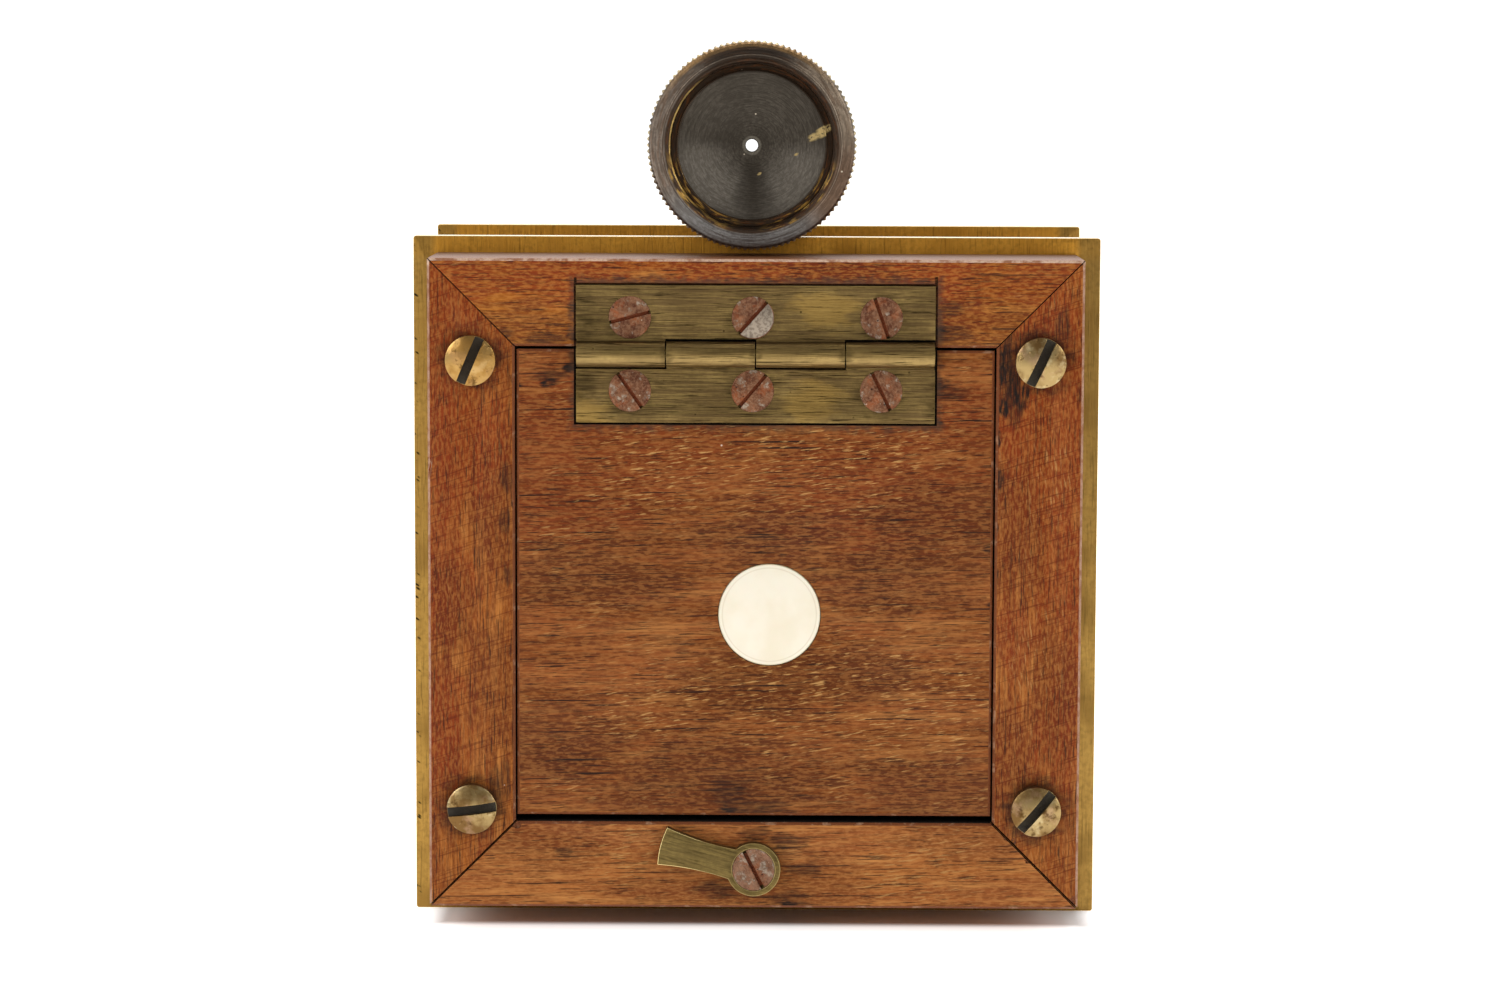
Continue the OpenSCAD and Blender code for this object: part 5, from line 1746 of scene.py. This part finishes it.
@dataclass
class TurnButton:
    """The flat brass catch with its washer and pitted screw."""

    pivot: Triple = (0.0, -42.7, 9.95)

    def build(self) -> None:
        """Builds and dresses the catch."""
        Bench.piece("catch_paddle", "turn_catch", Finish.CATCH, "aged_brass", Body.CATCH, edge=0.26, parts=2,
                    others=(Finish.CATCH_EDGE,), edge_number=1)
        Bench.piece("catch_washer_flat", "catch_washer", Finish.CATCH, "aged_brass", edge=0.06)
        Screws("catch_screw", [self.pivot], [117], slot_width=0.55, slot_floor=0.55, edge=0.12,
               finish=Finish.CATCH_RUST, edge_finish=Finish.STEEL_RIM, slot="rusty_steel").build()


@dataclass
class LensTube:
    """The brass lens: flange, barrel, hood, two cells with their glasses and the stop.

    Attributes:
        barrel: Outer radius, bore, back and front of the barrel.
        shoulder: Bore of the shoulder inside it.
        shoulder_y: Back of the shoulder.
        ring: Thickness of the shoulder and of the ring behind the stop.
        hood: Outer radius, back and front of the hood, and its seat on the barrel's front.
        fit: Room between two pieces.
        cell: Length of a cell.
        lip: Thickness of a cell's lip, and how far it covers the glass.
        stop: Radius of the stop's hole and its thickness.
    """

    axis: Point = LENS_AXIS
    flange_front: float = 25.1
    flange_screw: float = 19.0
    barrel: Four = (15.0, 13.6, 17.5, 56.5)
    shoulder: float = 12.0
    shoulder_y: float = 44.9
    ring: float = 2.0
    hood: Four = (17.0, 53.5, 62.5, 56.5)
    fit: float = 0.05
    cell: float = 6.4
    glass: float = 11.0
    glass_edge: float = 1.8
    glass_crown: float = 0.9
    lip: float = 1.0
    retainer: float = 1.4
    stop: Point = (3.0, 0.8)

    def build(self) -> None:
        """Builds and dresses the lens."""
        Bench.piece("lens_flange_turned", "lens_flange", Finish.LENS, "lens_brass", edge=0.25)
        ring = on_circle(self.axis, self.flange_screw, (45, 135, 225, 315))
        SmallScrews("flange_screws", [(x, self.flange_front, z) for x, z in ring], [35, 80, 120, 160], (0, -1, 0),
                    length=5.2).build()
        outer, bore, back, front = self.barrel
        s0, s1 = self.shoulder_y, self.shoulder_y + self.ring
        self.lathe("lens_barrel", [(outer, back), (outer, front), (bore, front), (bore, s1), (self.shoulder, s1),
                                   (self.shoulder, s0), (bore, s0), (bore, back)], 0.2)
        r, y0, y1, seat = self.hood
        wide = outer + self.fit
        self.lathe("lens_hood", [(wide, y0), (r, y0), (r, y1), (bore, y1), (bore, seat), (wide, seat)], 0.3)
        hole, thin = self.stop
        self.group("front", s1, 1)
        self.group("rear", s0 - thin - self.ring, -1)
        wide = bore - self.fit
        self.lathe("lens_stop", [(hole, s0 - thin), (wide, s0 - thin), (wide, s0), (hole, s0)], 0.05,
                   Finish.BLACK, "blackened_brass")
        y0 = s0 - thin - self.ring
        y1 = y0 + self.ring
        self.lathe("stop_ring", [(self.shoulder, y0), (wide, y0), (wide, y1), (self.shoulder, y1)], 0.15)

    def group(self, where: str, start: float, side: int) -> None:
        """Turns a cell, its glass and the ring that holds it.

        Args:
            where: Which end of the barrel it is at.
            start: Y of the cell's inner end.
            side: 1 where it runs forwards from there, -1 where it runs back.
        """
        rim, wide, seat = self.glass - self.lip, self.barrel[1] - self.fit, self.glass + self.fit
        base = self.lip + self.sag(rim)
        thick = self.glass_edge + 2 * self.glass_crown
        held = self.lip + thick - self.sag(rim) + self.fit
        radii = [self.glass * k / 24 for k in range(25)]
        front = [(r, self.sag(r)) for r in radii]
        back = [(r, thick - self.sag(r)) for r in reversed(radii)]
        for node, profile, shift, edge, finish, slot in (
            ("cell", [(rim, 0.0), (wide, 0.0), (wide, self.cell), (seat, self.cell), (seat, base), (rim, base)],
             0.0, 0.1, Finish.LENS, "lens_brass"),
            ("glass", front + back, self.lip + self.fit / 2, 0.0, Finish.GLASS, "clear_glass"),
            ("retaining_ring", [(rim, held), (self.glass, held), (self.glass, held + self.retainer),
                                (rim, held + self.retainer)], 0.0, 0.12, Finish.LENS, "lens_brass"),
        ):
            moved = [(r, start + side * (shift + y)) for r, y in profile]
            self.lathe(f"{where}_{node}", moved, edge, finish, slot)

    def sag(self, r: float) -> float:
        """Gives how far a glass's face falls back at a radius."""
        big = ball(self.glass, self.glass_crown)
        return big - math.sqrt(big * big - r * r)

    def lathe(self, node: str, profile: list[Point], edge: float, finish: Finish = Finish.LENS,
              slot: str = "lens_brass") -> None:
        """Turns one piece of the lens and puts it in the place of its node.

        Args:
            node: CAD node that it stands for.
            profile: Closed outline of radius and Y.
            edge: Rounding of its corners, or nought.
            finish: Its finish.
            slot: Material slot of the record, which is not used.
        """
        shape = turned(rounded(profile, edge) if edge else profile, self.axis)
        Bench.piece(node + "_turned", node, finish, slot, shape=shape)


@dataclass
class PushCap:
    """The brass lens cap with its velvet lining."""

    axis: Point = LENS_AXIS
    back: float = 55.5
    floor: float = 62.6
    inner: float = 17.1
    velvet: float = 0.6
    wall: float = 0.9

    def build(self) -> None:
        """Builds and dresses the cap."""
        inner, back, floor, bore = self.inner, self.back, self.floor, self.inner + self.velvet
        outer, seat = bore + self.wall, floor + self.velvet
        front = seat + self.wall
        shell = [(bore, back), (outer, back), (outer, front), (0, front), (0, seat), (bore, seat)]
        Bench.piece("lens_cap_turned", "lens_cap", Finish.CAP, "lens_brass", Body.CAP,
                    shape=turned(rounded(shell, 0.35, 5), self.axis))
        lining = [(inner, back), (bore, back), (bore, seat), (0, seat), (0, floor), (inner, floor)]
        Bench.piece("lens_cap_lining", "lens_cap_velvet", Finish.VELVET, "velvet", Body.CAP,
                    shape=turned(rounded(lining, 0.15), self.axis))


@dataclass
class PeepFinder:
    """The peep finder: post, tube, front mask and the knurled eye ring with its dished disc.

    Attributes:
        tube: Outer radius, inner radius, back and front of the tube.
        ring: Radius of the knurling's crests and of its roots, back and front of the ring.
        lip: Radius of the hole in the ring's back and the thickness round it.
        face_radius: Radius of the ring's flat faces.
        chamfer: Width of its chamfers.
        fall: How far its back face falls off towards the rim.
        crown: Depth of the chamfer behind its crests.
        wear: How much of the knurling is worn away at most.
        wear_scale: Fineness of that wear.
        boss: Radius of the disc's raised part.
        flange: Radius of its flange.
        disc: Y of the disc's rim, of its step and of its front.
        dish: Depth of the dish.
        flat: Width of the flat rim round it.
        peep: Radius of the peep hole.
        screw: Place of the foot's right screw, with X from the axis.
    """

    axis: Point = EYE_AXIS
    tube: Four = (12.6, 11.6, -30.5, -8.5)
    ring: Four = (15.0, 14.65, -33.05, -25.05)
    lip: Point = (11.6, 1.2)
    face_radius: float = 14.4
    chamfer: float = 0.5
    fall: float = 0.45
    crown: float = 1.0
    teeth: int = 104
    wear: float = 0.35
    wear_scale: float = 160.0
    boss: float = 10.7
    flange: float = 12.5
    disc: Triple = (-32.9, -31.8, -30.6)
    dish: float = 0.8
    flat: float = 0.25
    peep: float = 0.88
    screw: Triple = (12.0, -13.85, 95.7)
    fit: float = 0.05

    def build(self) -> None:
        """Builds and dresses the finder."""
        outer, inner, back, front = self.tube
        tube = rounded([(inner, back), (outer, back), (outer, front), (inner, front)], 0.15)
        Bench.piece("finder_tube_turned", "finder_tube", Finish.BLACK, "blackened_brass",
                    shape=turned(tube, self.axis))
        Bench.piece("finder_post_filed", "finder_post", Finish.POST, "aged_brass", edge=0.25)
        Bench.piece("finder_mask_turned", "finder_mask", Finish.BLACK, "blackened_brass", edge=0.1)
        x, y, z = self.screw
        SmallScrews("finder_post_screws", [(self.axis[0] + side * x, y, z) for side in (-1, 1)], [40, 100],
                    (0, 0, -1), length=3.6).build()
        self.eye_disc()
        self.eye_ring()

    def eye_disc(self) -> None:
        """Turns the dished disc with its peep hole."""
        face, step, end = self.disc
        big, count = ball(self.boss, self.dish), 30
        radii = [self.peep + (self.boss - self.flat - self.peep) * k / count for k in range(count + 1)]
        profile = [(self.peep, end)] + [(r, face + self.dish - big + math.sqrt(big * big - r * r)) for r in radii]
        profile += rounded([(self.boss, face), (self.boss, step), (self.boss - 2, step)], 0.15)[:4]
        profile += [(self.boss, step), (self.flange, step), (self.flange, end)]
        Bench.piece("eye_disc_dished", "eye_disc", Finish.EYE_DISC, "blackened_brass", Body.EYEPIECE,
                    shape=turned(profile, self.axis, 192))

    def eye_ring(self) -> None:
        """Turns the eye ring and lets a geometry tree cut its knurling."""
        crest, root, back, front = self.ring
        lip_r, lip_t = self.lip
        bore = self.tube[0] + self.fit
        wide, cut_off = self.face_radius, self.chamfer
        corners = [(lip_r, back + lip_t), (lip_r, back + cut_off), (lip_r + cut_off, back), (wide, back + self.fall),
                   (crest, back + self.crown), (crest, front - cut_off), (wide, front), (bore, front),
                   (bore, back + lip_t)]
        blank = turned(rounded(corners, 0.18), self.axis, self.teeth * 8)
        jig = Jig("knurled_ring", {
            "Teeth": self.teeth, "Root Radius": root * MM, "Axis X": self.axis[0] * MM,
            "Axis Z": self.axis[1] * MM, "Wear": self.wear, "Seed": 4.0})
        tree, size = jig.tree, jig.size
        here = add(tree, "GeometryNodeInputPosition")
        part = add(tree, "ShaderNodeSeparateXYZ", {0: here}).outputs
        x, z = (Amount(part[key]) - size["Axis " + key] for key in "XZ")
        out = add(tree, "ShaderNodeCombineXYZ", {"X": x, "Z": z})
        radius = Amount(add(tree, "ShaderNodeVectorMath", {0: out}, operation="LENGTH").outputs["Value"])
        angle = Amount(add(tree, "ShaderNodeMath", {0: z, 1: x}, operation="ARCTAN2"))
        tooth = Amount(add(tree, "ShaderNodeMath", {0: angle * size["Teeth"]}, operation="COSINE"))
        worn = Amount(add(tree, "ShaderNodeTexNoise", {"Vector": here, "W": size["Seed"], "Scale": self.wear_scale},
                          noise_dimensions="4D"))
        height = (radius - size["Root Radius"]).most(0.0)
        cut = height * (tooth * -0.5 + 0.5) * (1.0 - worn * size["Wear"]) * -1.0
        spoke = add(tree, "ShaderNodeVectorMath", {0: out}, operation="NORMALIZE")
        push = add(tree, "ShaderNodeVectorMath", {0: spoke, "Scale": cut}, operation="SCALE")
        moved = add(tree, "GeometryNodeSetPosition", {"Geometry": jig.inputs["Geometry"], "Offset": push})
        obj = Bench.loose(blank, "ring_blank")
        jig.use(obj, moved, Finish.EYE_RING)
        Bench.place("eye_ring_knurled", Bench.settle(obj), "eye_ring", "blackened_brass", Body.EYEPIECE, 50)


@dataclass
class RoundLevel:
    """The round spirit level on the box's roof."""

    centre: Point = (-27.0, 0.0)
    roof: float = 93.7
    screw_ring: float = 7.1
    flange: float = 1.3

    def build(self) -> None:
        """Builds and dresses the level."""
        Bench.piece("level_case_turned", "level_case", Finish.LENS, "lens_brass", edge=0.18)
        Bench.piece("level_glass_polished", "level_glass", Finish.LEVEL_GLASS, "clear_glass")
        ring = on_circle(self.centre, self.screw_ring, (90, 210, 330))
        SmallScrews("level_screws", [(x, y, self.roof + self.flange) for x, y in ring], [25, 70, 140], (0, 0, -1),
                    length=2.9).build()


@dataclass
class Studio:
    """The white table, the soft light and the camera that takes the picture.

    Attributes:
        eye: Place of the viewer.
        pitch: How far the view looks down, in degrees.
        yaw: How far it is turned to the left, in degrees.
        roll: How far it leans, in degrees.
        focal_pixels: Focal length in pixels of the picture.
        table: Half the table's width.
        shade: Middle of the shadow under the camera, where the paper's painted glow stops.
        shade_half: Half sizes of that shadow.
        glow: Strength of the paper's own painted glow.
        lamps: Name, place, size and power of each soft light.
        aim: Point that the lights face.
    """

    eye: Triple = (3.6, -614.5, 124.6)
    pitch: float = 6.14
    yaw: float = 0.43
    roll: float = -0.22
    focal_pixels: float = 4066.0
    image_width: float = 1500.0
    sensor: float = 36.0
    table: float = 4000.0
    shade: Triple = (1.0, 16.0, 0.0)
    shade_half: Triple = (45.5, 47.5, 0.0)
    glow: float = 0.72
    aim: Triple = (0, 0, 55)
    lamps: tuple[tuple[str, Triple, float, float], ...] = (
        ("overhead_softbox", (0, 260, 850), 700, 4.0),
        ("left_softbox", (-700, -500, 500), 500, 3.6),
        ("right_softbox", (750, -420, 420), 450, 2.3),
    )

    def build(self) -> None:
        """Sets the table, the light and the camera."""
        self.set_table()
        self.set_tent()
        self.set_lamps()
        self.set_camera()
        bpy.context.scene.view_settings.view_transform = "Standard"

    def set_table(self) -> None:
        """Lays a white table under the camera, whose paper glows with painted light outside the shadow."""
        bm = bmesh.new()
        bmesh.ops.create_grid(bm, x_segments=1, y_segments=1, size=self.table * MM)
        table = Bench.loose(bm, "white_table")
        paper = Layers("white_paper_with_painted_glow", "#f6f5f3")
        paper.coat("#f2f1ef", paper.mask(300, 0.3, 0.7))
        # The paper glows with painted light of its own, which stops at a painted edge of the shadow under the wooden
        # back.
        light = paper.outside(self.shade, self.shade_half, "Y").rise(0.0, 4.0) * self.glow
        table.data.materials.append(paper.finish(0.75, glow=light))

    def set_tent(self) -> None:
        """Puts a white tent round it all that is dimmer overhead and where the viewer stands."""
        world = bpy.data.worlds.new("white_tent")
        bpy.context.scene.world = world
        world.use_nodes = True
        tree = world.node_tree
        tree.nodes.clear()
        way = add(tree, "ShaderNodeSeparateXYZ", {0: add(tree, "ShaderNodeTexCoord").outputs["Generated"]}).outputs
        soft = (1.0 - Amount(way["Z"]).rise(0.0, 0.9) * 0.45) * (Amount(way["Y"]).rise(-0.9, 0.7) + 0.5)
        seen = add(tree, "ShaderNodeLightPath").outputs["Is Camera Ray"]
        strength = add(tree, "ShaderNodeMix", {0: seen, 2: soft, 3: 1.2}, data_type="FLOAT")
        glow = add(tree, "ShaderNodeBackground", {"Color": (1, 1, 1, 1), "Strength": strength})
        add(tree, "ShaderNodeOutputWorld", {"Surface": glow})

    def set_lamps(self) -> None:
        """Hangs the soft lights."""
        for name, place, size, power in self.lamps:
            light = bpy.data.lights.new(name, "AREA")
            light.shape, light.size, light.energy = "SQUARE", size * MM, power
            lamp = bpy.data.objects.new(name, light)
            lamp.location = Vector(place) * MM
            lamp.rotation_euler = (Vector(self.aim) - Vector(place)).to_track_quat("-Z", "Y").to_euler()
            bpy.context.scene.collection.objects.link(lamp)

    def set_camera(self) -> None:
        """Puts the camera where the photograph was taken from."""
        pitch, yaw, roll = (math.radians(a) for a in (self.pitch, self.yaw, self.roll))
        side = Vector((math.cos(yaw), math.sin(yaw), 0))
        level = Vector((-math.sin(yaw), math.cos(yaw), 0))
        ahead = level * math.cos(pitch) - Vector((0, 0, math.sin(pitch)))
        over = level * math.sin(pitch) + Vector((0, 0, math.cos(pitch)))
        right = side * math.cos(roll) - over * math.sin(roll)
        up = side * math.sin(roll) + over * math.cos(roll)
        data = bpy.data.cameras.new("plate_view")
        data.sensor_width, data.lens = self.sensor, self.focal_pixels / self.image_width * self.sensor
        data.clip_start, data.clip_end = 0.02, 20
        view = bpy.data.objects.new("plate_view", data)
        turn = Matrix((right, up, -ahead)).transposed().to_4x4()
        view.matrix_world = Matrix.Translation(Vector(self.eye) * MM) @ turn
        bpy.context.scene.collection.objects.link(view)
        bpy.context.scene.camera = view


def main() -> None:
    """Builds every sub-assembly of the camera and the studio round it."""
    logging.basicConfig(level=logging.INFO, format="%(name)s: %(message)s")
    for assembly in (Studio(), BrassBox(), WoodenBack(), LoadingDoor(), ButtHinge(), TurnButton(), LensTube(),
                     PushCap(), PeepFinder(), RoundLevel()):
        log.info("building %s", type(assembly).__name__)
        assembly.build()


if __name__ == "__main__":
    main()
